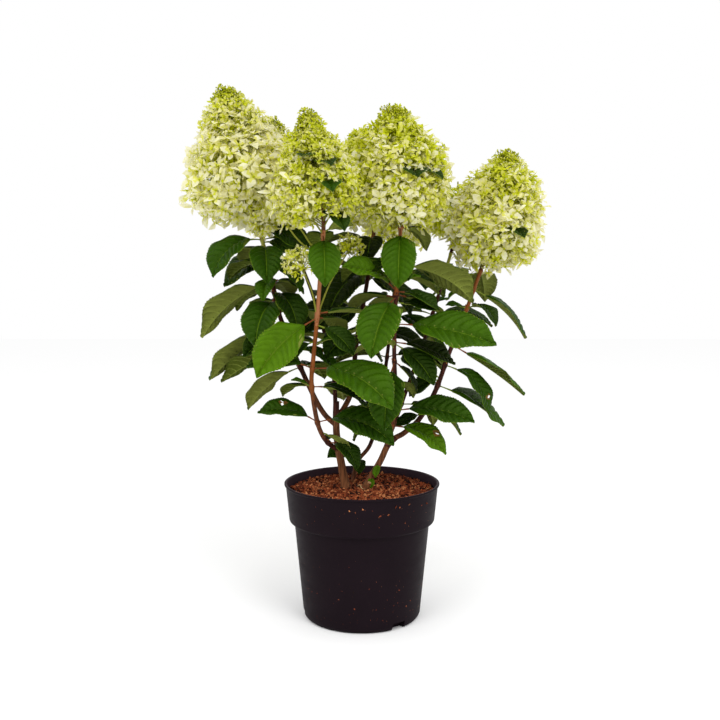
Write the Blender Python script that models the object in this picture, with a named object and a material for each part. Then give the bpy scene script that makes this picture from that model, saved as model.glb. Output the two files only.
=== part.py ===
"""A panicle hydrangea in a round nursery pot: pot, potting mix, stems, leafy shoots and flower heads.

Metres, +Z up. The origin is the middle of the pot's flat underside. The side with most bloom looks along -Y.
Azimuths are seen from above: 0 is +X, 90 is +Y, and 270 is towards the viewer.
"""

import math
import random

import bmesh
import bpy
from mathutils import Matrix, Vector
from mathutils.bvhtree import BVHTree

# The pot: a blow-moulded 23 cm nursery pot with a broad band under its rim
POT_HEIGHT = 0.200
RIM_RADIUS = 0.1150
BAND_TOP_RADIUS = 0.1128
BAND_FOOT_RADIUS = 0.1078
BODY_TOP_RADIUS = 0.1003
BASE_RADIUS = 0.0872
BASE_CHAMFER = 0.005
BAND_FOOT_HEIGHT = 0.1440
LIP_HEIGHT = 0.004
POT_WALL = 0.0018
POT_SIDES = 36
NOTCH_AZIMUTHS = (307.5, 67.5, 187.5)
NOTCH_WIDTH = 0.022
NOTCH_HEIGHT = 0.0105
NOTCH_DEPTH = 0.012
DRAIN_HOLES = 4
DRAIN_RADIUS = 0.006
DRAIN_RING = 0.045

# The potting mix: flat on top where the stems stand, rounded down to the pot's wall
SOIL_HEIGHT = 0.190
SOIL_EDGE_DROP = 0.004

# Rings and sides of the stems' tubes
TRUNK_STEP = 0.022
TRUNK_SIDES = 8
BOUGH_STEP = 0.016
SHOOT_STEP = 0.026
SHOOT_SIDES = 6

# Clearances between solids that touch
GAP = 0.0003
LEAF_CLEARANCE = 0.0012

# Foliage: blades are elliptic with a drawn-out tip, on short stalks, in opposite pairs
STALK_SHARE = 0.17
STALK_RADIUS = 0.0011
STALK_ROOT = 0.0070
BLADE_WIDTH = 0.245
BLADE_THICKNESS = 0.0016
BLADE_FOLD = 14.0
BLADE_STATIONS = (0.0, 0.24, 0.52, 0.80)
PAIR_SPACING = 0.052
GROWN_FROM = 0.300
TURNS_TRIED = (0, 9, -9, 18, -18, 28, -28, 40, -40)
DROPS_TRIED = (0, -12, 12, -24, 24)

# Flower heads: a rounded cone of four-sepalled florets that stand out of a core
HEAD_CORE = 0.88
HEAD_LUMPS = 0.07
HEAD_ROOM = 1.10
HEAD_SIDES = 9
HEAD_RINGS = (0.06, 0.14, 0.28, 0.44, 0.61, 0.77, 0.90, 0.975)
HEAD_SPREAD = 0.6
HEAD_STALK_RADII = (0.0026, 0.0014)
HEAD_STALK_REACH = 0.9
HEAD_STALK_STEP = 0.030
FLORETS_FROM = 0.12
FLORETS_TO = 0.96
FLORET_ROOM = 1.28
FLORET_AREA = 0.0024
FLORET_RADIUS = 0.0155
GOLDEN_TURN = 137.508
SEED = 23

# Stems that stand in the mix. Each has its route from the ground up, and its radii there and at its tip.
TRUNKS = {
    "trunk_left": {
        "route": [
            (-0.024, 0, SOIL_HEIGHT + GAP), (-0.031, 0, 0.229), (-0.036, 0, 0.259), (-0.038, 0, 0.283),
            (-0.038, 0, 0.319),
        ],
        "radii": (0.0064, 0.0044),
        "flare": 0.0026,
    },
    "trunk_right": {
        "route": [
            (0.004, 0, SOIL_HEIGHT + GAP), (0.014, 0, 0.208), (0.028, 0, 0.232), (0.038, 0, 0.254),
            (0.050, 0.002, 0.2655),
        ],
        "radii": (0.0050, 0.0044),
        "flare": 0.0018,
    },
}

# Shoots. Each springs from a trunk or from the mix and ends in a flower head. "bare" is the height where
# its leafy part begins. A pair of leaves is its height, then azimuth, length, rise at the stem, fall at the
# tip and roll of each leaf. A shoot without pairs grows them by the rule in grown_pairs.
SHOOTS = {
    "left_outer": {
        "from": "trunk_left",
        "route": [
            (-0.038, 0, 0.284), (-0.059, 0.005, 0.305), (-0.083, 0.008, 0.352), (-0.116, 0.0, 0.433),
            (-0.133, -0.005, 0.506), (-0.148, -0.005, 0.573),
        ],
        "radii": (0.0040, 0.0027),
        "bare": 0.334,
        "pairs": [
            (0.556, (219, 0.108, 5, -81, -22), (20, 0.090, 16, -44, 0)),
            (0.544, (279, 0.096, 5, -88, 0), (110, 0.085, 5, -50, 0)),
            (0.522, (325, 0.078, 0, -75, 0), (145, 0.085, 10, -50, 0)),
            (0.497, (188, 0.134, -18, -65, 36), (350, 0.055, 10, -60, 10)),
            (0.492, (260, 0.064, 25, -88, 10), (75, 0.085, 10, -50, 0)),
            (0.480, (303, 0.096, 0, -84, 0), (150, 0.090, 10, -55, 0)),
            (0.466, (253, 0.110, 2, -88, -5), (105, 0.095, 10, -60, 0)),
            (0.434, (181, 0.137, -27, -50, 26), (285, 0.090, -5, -60, 20)),
            (0.416, (224, 0.086, 0, -40, -30), (30, 0.090, 10, -45, 0)),
            (0.396, (180, 0.118, -10, -42, 30), (320, 0.085, 10, -60, 0)),
            (0.370, (168, 0.108, -20, -62, 24), (50, 0.095, 10, -50, 0)),
        ],
    },
    "left_inner": {
        "from": "trunk_left",
        "route": [
            (-0.032, 0, 0.245), (-0.047, -0.007, 0.257), (-0.058, -0.014, 0.272),
            (-0.066, -0.023, 0.298), (-0.072, -0.040, 0.350), (-0.069, -0.050, 0.386),
            (-0.063, -0.065, 0.440), (-0.058, -0.078, 0.497), (-0.052, -0.095, 0.566),
        ],
        "radii": (0.0036, 0.0026),
        "bare": 0.256,
        "pairs": [
            (0.559, (275, 0.089, -28, -88, 0), (98, 0.080, 12, -50, 0)),
            (0.452, (12, 0.082, 10, -18, 0), (100, 0.070, 10, -50, 0)),
            (0.446, (202, 0.124, -24, -60, -52), (60, 0.080, 0, -50, 0)),
            (0.373, (322, 0.155, 8, -50, 25), (172, 0.100, 25, -30, -45)),
            (0.346, (355, 0.087, 5, -50, 10), (118, 0.070, 10, -50, 0)),
            (0.292, (186, 0.092, 36, -22, -30), (345, 0.126, 18, -54, 35)),
            (0.260, (330, 0.068, 6, -88, 20), (60, 0.036, 30, -30, 0)),
        ],
    },
    "right_inner": {
        "from": "trunk_right",
        "route": [
            (0.036, 0, 0.250), (0.044, -0.007, 0.283), (0.049, -0.022, 0.325), (0.046, -0.036, 0.399),
            (0.048, -0.043, 0.475), (0.051, -0.046, 0.523), (0.054, -0.047, 0.572),
        ],
        "radii": (0.0033, 0.0026),
        "bare": 0.266,
        "pairs": [
            (0.571, (264, 0.100, -38, -88, 0), (40, 0.066, 8, -80, 0)),
            (0.520, (12, 0.128, -4, -52, -32), (165, 0.105, 15, -50, 0)),
            (0.506, (22, 0.072, -8, -42, 5), (290, 0.045, 20, -50, 0)),
            (0.474, (246, 0.124, -16, -75, -10), (135, 0.100, 10, -45, 0)),
            (0.482, (202, 0.094, 50, -12, -45), (20, 0.070, 0, -50, 20)),
            (0.478, (22, 0.088, -10, -42, 5), (150, 0.090, 0, -40, 0)),
            (0.436, (338, 0.151, 0, -22, 42), (172, 0.095, 0, -40, 0)),
            (0.410, (2, 0.095, -5, -39, 30), (160, 0.070, 0, -40, 0)),
            (0.382, (252, 0.108, -40, -88, 0), (14, 0.058, -34, -78, 30)),
            (0.352, (50, 0.055, -5, -65, 0), (150, 0.090, 10, -50, 0)),
            (0.308, (346, 0.120, 13, -30, 34), (140, 0.075, 20, -40, 0)),
            (0.284, (338, 0.095, 4, -58, 22), (135, 0.075, 20, -50, 0)),
        ],
    },
    "right_outer": {
        "from": "trunk_right",
        "route": [
            (0.0462, 0.0014, 0.2619), (0.050, 0.002, 0.2655), (0.064, 0.005, 0.273),
            (0.087, 0.010, 0.294), (0.110, 0.014, 0.335), (0.131, 0.018, 0.393), (0.154, 0.020, 0.451),
            (0.176, 0.020, 0.514),
        ],
        "radii": (0.0041, 0.0026),
        "bare": 0.302,
        "pairs": [
            (0.508, (75, 0.086, 0, -75, 0), (168, 0.078, -5, -50, 0)),
            (0.484, (14, 0.114, -25, -62, 24), (200, 0.046, 10, -50, 0)),
            (0.456, (306, 0.074, 22, -75, -10), (200, 0.036, 25, -10, -30)),
            (0.402, (12, 0.140, -29, -41, 10), (110, 0.080, 20, -40, 0)),
            (0.372, (350, 0.104, -15, -88, 22), (165, 0.040, 45, 10, -30)),
            (0.342, (18, 0.130, -20, -46, 30), (168, 0.036, 50, -20, -20)),
            (0.312, (62, 0.040, -40, -85, 0), (205, 0.030, 30, -20, 0)),
        ],
    },
    "centre": {
        "from": "trunk_left",
        "route": [
            (-0.038, 0, 0.298), (-0.027, 0.010, 0.308), (-0.013, 0.030, 0.340), (-0.010, 0.045, 0.388),
            (-0.002, 0.058, 0.437), (0.010, 0.078, 0.506), (0.018, 0.090, 0.566),
        ],
        "radii": (0.0042, 0.0028),
        "bare": 0.345,
        "pairs": [
            (0.560, (262, 0.086, 10, -80, 0), (172, 0.100, 28, -40, 0)),
            (0.508, (235, 0.130, 0, -70, -10), (300, 0.110, -10, -70, 0)),
            (0.455, (215, 0.122, 8, -50, -40), (35, 0.110, 5, -50, 0)),
            (0.416, (352, 0.110, 10, -40, 20), (200, 0.100, 0, -40, -40)),
            (0.362, (280, 0.100, 15, -45, 0), (80, 0.100, 5, -45, 0)),
        ],
    },
    "rear_left": {
        "from": "trunk_left",
        "route": [
            (-0.037, 0, 0.268), (-0.039, 0.016, 0.290), (-0.045, 0.046, 0.370), (-0.075, 0.092, 0.470),
            (-0.105, 0.125, 0.545),
        ],
        "radii": (0.0034, 0.0026),
        "bare": 0.330,
        "pairs": None,
        "first_turn": 156,
        "set_pairs": [(0.532, (182, 0.140, 6, -50, -20), (2, 0.100, 10, -50, 0))],
    },
    "rear_middle": {
        "from": None,
        "route": [
            (-0.0145, 0.036, SOIL_HEIGHT + GAP), (-0.006, 0.042, 0.222), (0.016, 0.058, 0.252),
            (0.034, 0.095, 0.335), (0.050, 0.150, 0.450), (0.058, 0.184, 0.535),
        ],
        "radii": (0.0032, 0.0026),
        "bare": 0.216,
        "pairs": None,
        "first_turn": 12,
        "set_pairs": [(0.221, (200, 0.058, 60, -50, -50), (275, 0.042, 30, -85, 0))],
    },
    "rear_right": {
        "from": "trunk_right",
        "route": [
            (0.025, 0, 0.227), (0.036, 0.016, 0.250), (0.064, 0.044, 0.320), (0.104, 0.086, 0.425),
            (0.142, 0.128, 0.540),
        ],
        "radii": (0.0032, 0.0026),
        "bare": 0.300,
        "pairs": None,
        "first_turn": 84,
    },
}

# Flower heads: the bend in the axis, the apex, the widest radius and how sharply it tapers. Each starts at
# its shoot's tip.
HEADS = {
    "left_outer": {
        "bend": (-0.180, -0.004, 0.650), "apex": (-0.197, 0.0, 0.773), "radius": 0.083, "taper": 0.70,
    },
    "left_inner": {
        "bend": (-0.064, -0.105, 0.650), "apex": (-0.072, -0.106, 0.722), "radius": 0.063, "taper": 0.75,
    },
    "centre": {
        "bend": (0.008, 0.096, 0.655), "apex": (-0.002, 0.098, 0.738), "radius": 0.058, "taper": 0.60,
    },
    "right_inner": {
        "bend": (0.053, -0.046, 0.655), "apex": (0.042, -0.046, 0.737), "radius": 0.078, "taper": 0.60,
    },
    "right_outer": {
        "bend": (0.206, 0.020, 0.600), "apex": (0.214, 0.020, 0.687), "radius": 0.077, "taper": 0.65,
    },
    "rear_left": {
        "bend": (-0.132, 0.140, 0.640), "apex": (-0.154, 0.146, 0.760), "radius": 0.070, "taper": 0.60,
    },
    "rear_middle": {
        "bend": (0.062, 0.204, 0.620), "apex": (0.062, 0.212, 0.700), "radius": 0.060, "taper": 0.60,
    },
    "rear_right": {
        "bend": (0.152, 0.140, 0.600), "apex": (0.154, 0.144, 0.668), "radius": 0.046, "taper": 0.60,
    },
}

# Two small side heads on pale stalks from the left inner shoot: heights of foot, then the middle and radius
SIDE_HEADS = [
    {"foot": 0.446, "middle": (-0.085, -0.100, 0.522), "radius": 0.021},
    {"foot": 0.448, "middle": (-0.016, -0.030, 0.545), "radius": 0.018},
]
SIDE_STALK_RADIUS = 0.0012
SIDE_FLORETS = 11
SIDE_FLORET_RADIUS = 0.0095
SIDE_CORE = 0.62

COLOURS = {
    "pot": (0.016, 0.012, 0.014, 1.0),
    "potting_mix": (0.16, 0.055, 0.022, 1.0),
    "bark": (0.13, 0.05, 0.025, 1.0),
    "leaf": (0.045, 0.14, 0.012, 1.0),
    "flower": (0.60, 0.62, 0.22, 1.0),
}
ROUGHNESS = {"pot": 0.45, "potting_mix": 0.95, "bark": 0.7, "leaf": 0.45, "flower": 0.7}


def clear_scene():
    for old in list(bpy.data.objects):
        bpy.data.objects.remove(old)


def material(name):
    made = bpy.data.materials.get(name) or bpy.data.materials.new(name)
    made.use_nodes = True
    shader = made.node_tree.nodes["Principled BSDF"]
    shader.inputs["Base Color"].default_value = COLOURS[name]
    shader.inputs["Roughness"].default_value = ROUGHNESS[name]
    made.diffuse_color = COLOURS[name]
    return made


def add_object(name, points, faces, finish):
    """A mesh object of one closed shape, with its faces turned out."""
    mesh = bpy.data.meshes.new(name)
    mesh.from_pydata([tuple(p) for p in points], [], faces)
    shape = bmesh.new()
    shape.from_mesh(mesh)
    bmesh.ops.recalc_face_normals(shape, faces=shape.faces)
    shape.to_mesh(mesh)
    shape.free()
    made = bpy.data.objects.new(name, mesh)
    bpy.context.scene.collection.objects.link(made)
    made.data.materials.append(material(finish))
    return made


def smooth_line(points, per_span=6, heading=None):
    """Points along a smooth curve through the given ones. It sets out along the heading, if there is one."""
    given = [Vector(p) for p in points]
    before = 2 * given[0] - given[1]
    if heading:
        before = given[1] - 2 * (given[1] - given[0]).length * heading
    ends = [before] + given + [2 * given[-1] - given[-2]]
    line = []
    for before, start, stop, after in zip(ends, ends[1:], ends[2:], ends[3:]):
        for step in range(per_span):
            t = step / per_span
            line.append(
                0.5 * (
                    2 * start
                    + (stop - before) * t
                    + (2 * before - 5 * start + 4 * stop - after) * t ** 2
                    + (3 * start - before - 3 * stop + after) * t ** 3
                )
            )
    line.append(given[-1])
    return line


def distances(line):
    """How far along the line each of its points lies."""
    run = [0.0]
    for a, b in zip(line, line[1:]):
        run.append(run[-1] + (b - a).length)
    return run


def point_at(line, run, distance):
    """The point this far along the line, and the direction there."""
    for k in range(1, len(line)):
        if distance <= run[k] or k == len(line) - 1:
            t = (distance - run[k - 1]) / max(run[k] - run[k - 1], 1e-9)
            return line[k - 1].lerp(line[k], t), (line[k] - line[k - 1]).normalized()
    raise ValueError("an empty line")


def distance_at_height(line, run, height):
    """How far along a rising line it first reaches a height."""
    for k in range(1, len(line)):
        if line[k].z >= height:
            t = (height - line[k - 1].z) / max(line[k].z - line[k - 1].z, 1e-9)
            return run[k - 1] + t * (run[k] - run[k - 1])
    return run[-1]


def tube(line, radii, sides, turn=0.0, headings=None):
    """Points and faces of a closed tube along a line, with a radius at each of its points."""
    points, faces = [], []
    across = Vector((1, 0, 0))
    for k, (centre, radius) in enumerate(zip(line, radii)):
        ahead = (line[min(k + 1, len(line) - 1)] - line[max(k - 1, 0)]).normalized()
        if headings:
            ahead = headings[k]
        across = (across - ahead * across.dot(ahead)).normalized()
        aside = ahead.cross(across)
        for s in range(sides):
            angle = 2 * math.pi * s / sides + turn
            points.append(centre + (across * math.cos(angle) + aside * math.sin(angle)) * radius)
    for k in range(len(line) - 1):
        for s in range(sides):
            a, b = k * sides + s, k * sides + (s + 1) % sides
            faces.append((a, b, b + sides, a + sides))
    faces.append(tuple(reversed(range(sides))))
    faces.append(tuple(range((len(line) - 1) * sides, len(line) * sides)))
    return points, faces


def stretch(line, run, start, stop, spacing):
    """The line's points from one distance to another, about this far apart, with each one's distance."""
    count = max(2, math.ceil((stop - start) / spacing) + 1)
    places = [start + (stop - start) * k / (count - 1) for k in range(count)]
    return [point_at(line, run, place)[0] for place in places], places


def headings_at(line, run, places):
    """The line's direction at each distance, taken over a short way, so that both sides of a joint agree."""
    reach = 0.004
    found = []
    for place in places:
        behind = point_at(line, run, max(0.0, place - reach))[0]
        ahead = point_at(line, run, min(run[-1], place + reach))[0]
        found.append((ahead - behind).normalized())
    return found


def turned(name, profile, sides, finish):
    """A solid turned about the Z axis from (radius, height) points. The first and last lie on the axis."""
    points = [Vector((0, 0, profile[0][1]))]
    for radius, height in profile[1:-1]:
        for s in range(sides):
            angle = 2 * math.pi * s / sides
            points.append(Vector((radius * math.cos(angle), radius * math.sin(angle), height)))
    points.append(Vector((0, 0, profile[-1][1])))
    last = len(points) - 1
    rings = len(profile) - 2
    faces = []
    for s in range(sides):
        after = (s + 1) % sides
        faces.append((0, 1 + s, 1 + after))
        faces.append((last, 1 + (rings - 1) * sides + after, 1 + (rings - 1) * sides + s))
        for k in range(rings - 1):
            a, b = 1 + k * sides + s, 1 + k * sides + after
            faces.append((a, a + sides, b + sides, b))
    return add_object(name, points, faces, finish)


def as_cutter(cutter):
    cutter.hide_render = True
    cutter.display_type = "WIRE"
    return cutter


def body_radius(height):
    """The pot body's outer radius below its band."""
    share = (height - BASE_CHAMFER) / (BAND_FOOT_HEIGHT - BASE_CHAMFER)
    return BASE_RADIUS + (BODY_TOP_RADIUS - BASE_RADIUS) * share


def build_pot():
    lip = RIM_RADIUS
    band_inside = BAND_TOP_RADIUS - POT_WALL
    profile = [
        (0, 0),
        (BASE_RADIUS - 0.6 * BASE_CHAMFER, 0),
        (BASE_RADIUS, BASE_CHAMFER),
        (BODY_TOP_RADIUS, BAND_FOOT_HEIGHT - 0.002),
        (BAND_FOOT_RADIUS - 0.001, BAND_FOOT_HEIGHT),
        (BAND_FOOT_RADIUS, BAND_FOOT_HEIGHT + 0.002),
        (BAND_TOP_RADIUS, POT_HEIGHT - LIP_HEIGHT),
        (lip, POT_HEIGHT - 0.6 * LIP_HEIGHT),
        (lip - 0.0006, POT_HEIGHT),
        (band_inside, POT_HEIGHT),
        (BAND_FOOT_RADIUS - POT_WALL, BAND_FOOT_HEIGHT + 0.003),
        (BODY_TOP_RADIUS - POT_WALL, BAND_FOOT_HEIGHT),
        (BASE_RADIUS - POT_WALL, BASE_CHAMFER + POT_WALL),
        (0, BASE_CHAMFER + POT_WALL),
    ]
    pot = turned("pot", profile, POT_SIDES, "pot")
    for k, azimuth in enumerate(NOTCH_AZIMUTHS):
        cutter = box_cutter(f"notch_cutter_{k}", azimuth)
        cut(pot, cutter)
    for k in range(DRAIN_HOLES):
        angle = math.radians(45 + 360 * k / DRAIN_HOLES)
        centre = Vector((DRAIN_RING * math.cos(angle), DRAIN_RING * math.sin(angle), 0))
        line = [centre + Vector((0, 0, -0.01)), centre + Vector((0, 0, 0.02))]
        points, faces = tube(line, [DRAIN_RADIUS] * 2, 8)
        cut(pot, as_cutter(add_object(f"drain_cutter_{k}", points, faces, "pot")))
    return pot


def box_cutter(name, azimuth):
    """A block across the corner between the pot's wall and its underside."""
    outwards = Matrix.Rotation(math.radians(azimuth), 4, "Z")
    low, high = BASE_RADIUS - NOTCH_DEPTH, BASE_RADIUS + NOTCH_DEPTH
    half = NOTCH_WIDTH / 2
    points = [
        outwards @ Vector((x, y, z))
        for x in (low, high)
        for y in (-half, half)
        for z in (-NOTCH_HEIGHT, NOTCH_HEIGHT)
    ]
    faces = [(0, 1, 3, 2), (4, 6, 7, 5), (0, 4, 5, 1), (2, 3, 7, 6), (0, 2, 6, 4), (1, 5, 7, 3)]
    return as_cutter(add_object(name, points, faces, "pot"))


def cut(target, cutter):
    made = target.modifiers.new(cutter.name, "BOOLEAN")
    made.operation = "DIFFERENCE"
    made.object = cutter
    return made


def build_potting_mix():
    """The mix fills the pot, a hair clear of its wall."""
    inset = POT_WALL + GAP
    profile = [
        (0, BASE_CHAMFER + inset),
        (BASE_RADIUS - NOTCH_DEPTH - 2 * GAP, BASE_CHAMFER + inset),
        (BASE_RADIUS - NOTCH_DEPTH - 2 * GAP, NOTCH_HEIGHT + GAP),
        (body_radius(NOTCH_HEIGHT + 0.002) - inset - 0.0002, NOTCH_HEIGHT + 0.002),
        (BODY_TOP_RADIUS - inset - GAP, BAND_FOOT_HEIGHT + GAP),
        (BAND_FOOT_RADIUS - inset - 0.0012, BAND_FOOT_HEIGHT + 0.0046),
        (BAND_TOP_RADIUS - inset - 0.0016, SOIL_HEIGHT - SOIL_EDGE_DROP),
        (BAND_TOP_RADIUS - inset - 0.012, SOIL_HEIGHT),
        (0, SOIL_HEIGHT),
    ]
    return turned("potting_mix", profile, POT_SIDES, "potting_mix")


def trunk_radius(spec, share):
    """The radius of a trunk, with its root flare, at a share of its length."""
    foot, tip = spec["radii"]
    return foot + (tip - foot) * share + spec["flare"] * max(0.0, 1 - share / 0.18) ** 2


def trunk_line(spec, spread=0.0):
    line = smooth_line(spec["route"])
    run = distances(line)
    centres, places = stretch(line, run, 0, run[-1], TRUNK_STEP)
    radii = [trunk_radius(spec, place / run[-1]) + spread for place in places]
    return centres, radii


def build_trunk(name):
    centres, radii = trunk_line(TRUNKS[name])
    # The foot is one flat cut on the mix.
    points, faces = tube(centres, radii, TRUNK_SIDES)
    for k in range(TRUNK_SIDES):
        points[k].z = centres[0].z
    return add_object(name, points, faces, "bark")


def shoot_radius(spec, share):
    foot, tip = spec["radii"]
    return foot + (tip - foot) * share


def build_bough(name):
    """The bare lower stretch of a shoot. Where it springs from a trunk's side it is cut to fit round it."""
    spec = SHOOTS[name]
    line = smooth_line(spec["route"])
    run = distances(line)
    stop = distance_at_height(line, run, spec["bare"])
    centres, places = stretch(line, run, 0, stop, BOUGH_STEP)
    radii = [shoot_radius(spec, place / run[-1]) for place in places]
    points, faces = tube(centres, radii, SHOOT_SIDES, headings=headings_at(line, run, places))
    from_mix = spec["from"] is None
    if from_mix:
        for k in range(SHOOT_SIDES):
            points[k].z = centres[0].z
    bough = add_object(f"bough_{name}", points, faces, "bark")
    if not from_mix:
        trunk_centres, trunk_radii = trunk_line(TRUNKS[spec["from"]], spread=GAP)
        trunk_centres = list(trunk_centres)
        trunk_centres[0] = trunk_centres[0] - Vector((0, 0, 0.01))
        lift = (trunk_centres[-1] - trunk_centres[-2]).normalized() * GAP
        trunk_centres[-1] = trunk_centres[-1] + lift
        points, faces = tube(trunk_centres, trunk_radii, TRUNK_SIDES)
        cut(bough, as_cutter(add_object(f"clearance_{name}", points, faces, "bark")))
    return bough


def blade_half_width(share):
    """The half width of a blade, as a share of its widest, from its foot at 0 to its tip at 1."""
    if share <= 0 or share >= 1:
        return 0.0
    body = math.sin(math.pi * share ** 0.86) ** 0.82
    drawn = 1 - 0.42 * max(0.0, (share - 0.68) / 0.32) ** 1.5
    return body * drawn


def leaf_frames(root, leaf, shares):
    """Centre, outwards, sideways and upwards vectors of a leaf at shares of its midrib's length."""
    azimuth, length, rise, fall, roll = leaf
    level = Vector((math.cos(math.radians(azimuth)), math.sin(math.radians(azimuth)), 0))
    steps = 40
    centre = root.copy()
    frames, wanted = [], list(shares)
    for k in range(steps + 1):
        share = k / steps
        slope = math.radians(rise + (fall - rise) * share ** 1.15)
        ahead = level * math.cos(slope) + Vector((0, 0, math.sin(slope)))
        while wanted and wanted[0] <= share + 1e-9:
            spin = Matrix.Rotation(math.radians(roll) * min(1.0, 0.25 + share), 3, ahead)
            aside = spin @ Vector((0, 0, 1)).cross(level)
            frames.append((centre.copy(), ahead, aside, ahead.cross(aside)))
            wanted.pop(0)
        centre += ahead * (length / steps)
    return frames


def leaf_shape(root, leaf, spread=0.0):
    """Points and faces of a stalk and blade. With spread, it is swollen by that much all round."""
    length = leaf[1]
    shares = [0.0] + [STALK_SHARE + (1 - STALK_SHARE) * s for s in BLADE_STATIONS] + [1.0]
    frames = leaf_frames(root, leaf, shares)
    points, faces = [], []
    fold = math.radians(BLADE_FOLD)
    for k, (centre, ahead, aside, up) in enumerate(frames[:-1]):
        blade = BLADE_STATIONS[k - 1] if k else 0.0
        half = max(STALK_RADIUS, BLADE_WIDTH * length * blade_half_width(blade)) + spread
        thick = max(STALK_RADIUS, BLADE_THICKNESS / 2) + spread
        lift = (half - STALK_RADIUS) * math.tan(fold) if k > 1 else 0.0
        points += [
            centre + aside * half + up * lift,
            centre + up * thick,
            centre - aside * half + up * lift,
            centre - up * thick,
        ]
    points.append(frames[-1][0] + frames[-1][1] * spread)
    rings = len(frames) - 1
    for k in range(rings - 1):
        for s in range(4):
            a, b = 4 * k + s, 4 * k + (s + 1) % 4
            faces.append((a, b, b + 4, a + 4))
    for s in range(4):
        faces.append((4 * rings - 4 + s, 4 * rings - 4 + (s + 1) % 4, 4 * rings))
    faces.append((3, 2, 1, 0))
    return points, faces


def tree_of(points, faces):
    return BVHTree.FromPolygons([tuple(p) for p in points], faces)


def head_line(name):
    spec = SHOOTS[name]
    head = HEADS[name]
    stem = smooth_line(spec["route"])
    heading = (stem[-1] - stem[-2]).normalized()
    return smooth_line([stem[-1], head["bend"], head["apex"]], 10, heading=heading)


def head_radius(name, share):
    """The radius of a flower head, from its foot at 0 to its apex at 1."""
    head = HEADS[name]
    if share <= 0 or share >= 1:
        return 0.0
    return head["radius"] * math.sin(math.pi * share ** HEAD_SPREAD) ** head["taper"]


def head_shape(name, scale, shares, sides):
    """Points and faces of a turned form round the head's axis, at a share of its radius."""
    line = head_line(name)
    run = distances(line)
    centres = [point_at(line, run, share * run[-1])[0] for share in shares]
    radii = [head_radius(name, share) * scale for share in shares]
    return tube(centres, radii, sides)


def shoot_pairs(name):
    spec = SHOOTS[name]
    return spec["pairs"] or grown_pairs(name)


def grown_pairs(name):
    """Pairs of leaves at even steps up a shoot, each turned a quarter from the last."""
    spec = SHOOTS[name]
    dice = random.Random(f"{name} {SEED}")
    top = spec["route"][-1][2] - 0.030
    height = max(spec["bare"], GROWN_FROM) + 0.01
    turn = spec["first_turn"]
    count = int((top - height) / PAIR_SPACING) + 1
    pairs = []
    for k in range(count):
        leaves = []
        for side in (0, 180):
            leaves.append((
                turn + side + dice.uniform(-14, 14),
                dice.uniform(0.092, 0.122),
                dice.uniform(0, 28),
                dice.uniform(-68, -38),
                dice.uniform(-25, 25),
            ))
        pairs.append((top - k * (top - height) / max(1, count - 1), *leaves))
        turn += 90 + dice.uniform(-12, 12)
    return pairs + spec.get("set_pairs", [])


def side_head_lines():
    """The curved stalks of the two small side heads."""
    spec = SHOOTS["left_inner"]
    line = smooth_line(spec["route"])
    run = distances(line)
    lines = []
    for side in SIDE_HEADS:
        foot, ahead = point_at(line, run, distance_at_height(line, run, side["foot"]))
        middle = Vector(side["middle"])
        lines.append(smooth_line([foot, foot.lerp(middle, 0.35) + ahead * 0.012, middle], 5))
    return lines


def plan_foliage():
    """Settles each leaf's place. One that meets a stem, a head or an earlier leaf is turned or left out."""
    taken = []
    for name in TRUNKS:
        taken.append(tree_of(*tube(*trunk_line(TRUNKS[name]), TRUNK_SIDES)))
    for name, spec in SHOOTS.items():
        line = smooth_line(spec["route"])
        run = distances(line)
        centres, places = stretch(line, run, 0, run[-1], BOUGH_STEP)
        radii = [shoot_radius(spec, place / run[-1]) for place in places]
        taken.append(tree_of(*tube(centres, radii, SHOOT_SIDES)))
        shares = [0.02 + 0.95 * k / 8 for k in range(9)]
        taken.append(tree_of(*head_shape(name, HEAD_ROOM, shares, 10)))
    for side, line in zip(SIDE_HEADS, side_head_lines()):
        taken.append(tree_of(*tube(line[3:], [SIDE_STALK_RADIUS] * len(line[3:]), 5)))
        taken.append(tree_of(*ball(Vector(side["middle"]), side["radius"] * 1.1)))
    planned = {name: [] for name in SHOOTS}
    order = [(name, pair, k) for k in (1, 2) for name in SHOOTS for pair in shoot_pairs(name)]
    for name, pair, k in order:
        spec = SHOOTS[name]
        line = smooth_line(spec["route"])
        run = distances(line)
        root, _ = point_at(line, run, distance_at_height(line, run, pair[0]))
        placed = clear_leaf(root, pair[k], taken)
        if placed:
            planned[name].append((root, placed))
    return planned


def clear_leaf(root, leaf, taken):
    """The leaf as given, or turned and dropped by the least that keeps it clear of what is taken."""
    azimuth, length, rise, fall, roll = leaf
    for drop in DROPS_TRIED:
        for turn in TURNS_TRIED:
            tried = (azimuth + turn, length, rise + drop, fall + drop / 2, roll)
            wide = tree_of(*free_leaf(root, tried, LEAF_CLEARANCE))
            if not any(wide.overlap(other) for other in taken):
                taken.append(tree_of(*free_leaf(root, tried, 0.0)))
                return tried
    return None


def free_leaf(root, leaf, spread):
    """The leaf without the root of its stalk, so that its own stem doesn't count against it."""
    points, faces = leaf_shape(root, leaf, spread)
    share = min(0.9, STALK_ROOT / (STALK_SHARE * leaf[1]))
    start = [points[k].lerp(points[k + 4], share) for k in range(4)]
    return start + points[4:], faces


def ball(centre, radius):
    """A twelve-sided ball."""
    shape = bmesh.new()
    bmesh.ops.create_icosphere(shape, subdivisions=1, radius=radius)
    points = [centre + v.co for v in shape.verts]
    faces = [tuple(v.index for v in f.verts) for f in shape.faces]
    shape.free()
    return points, faces


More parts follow.
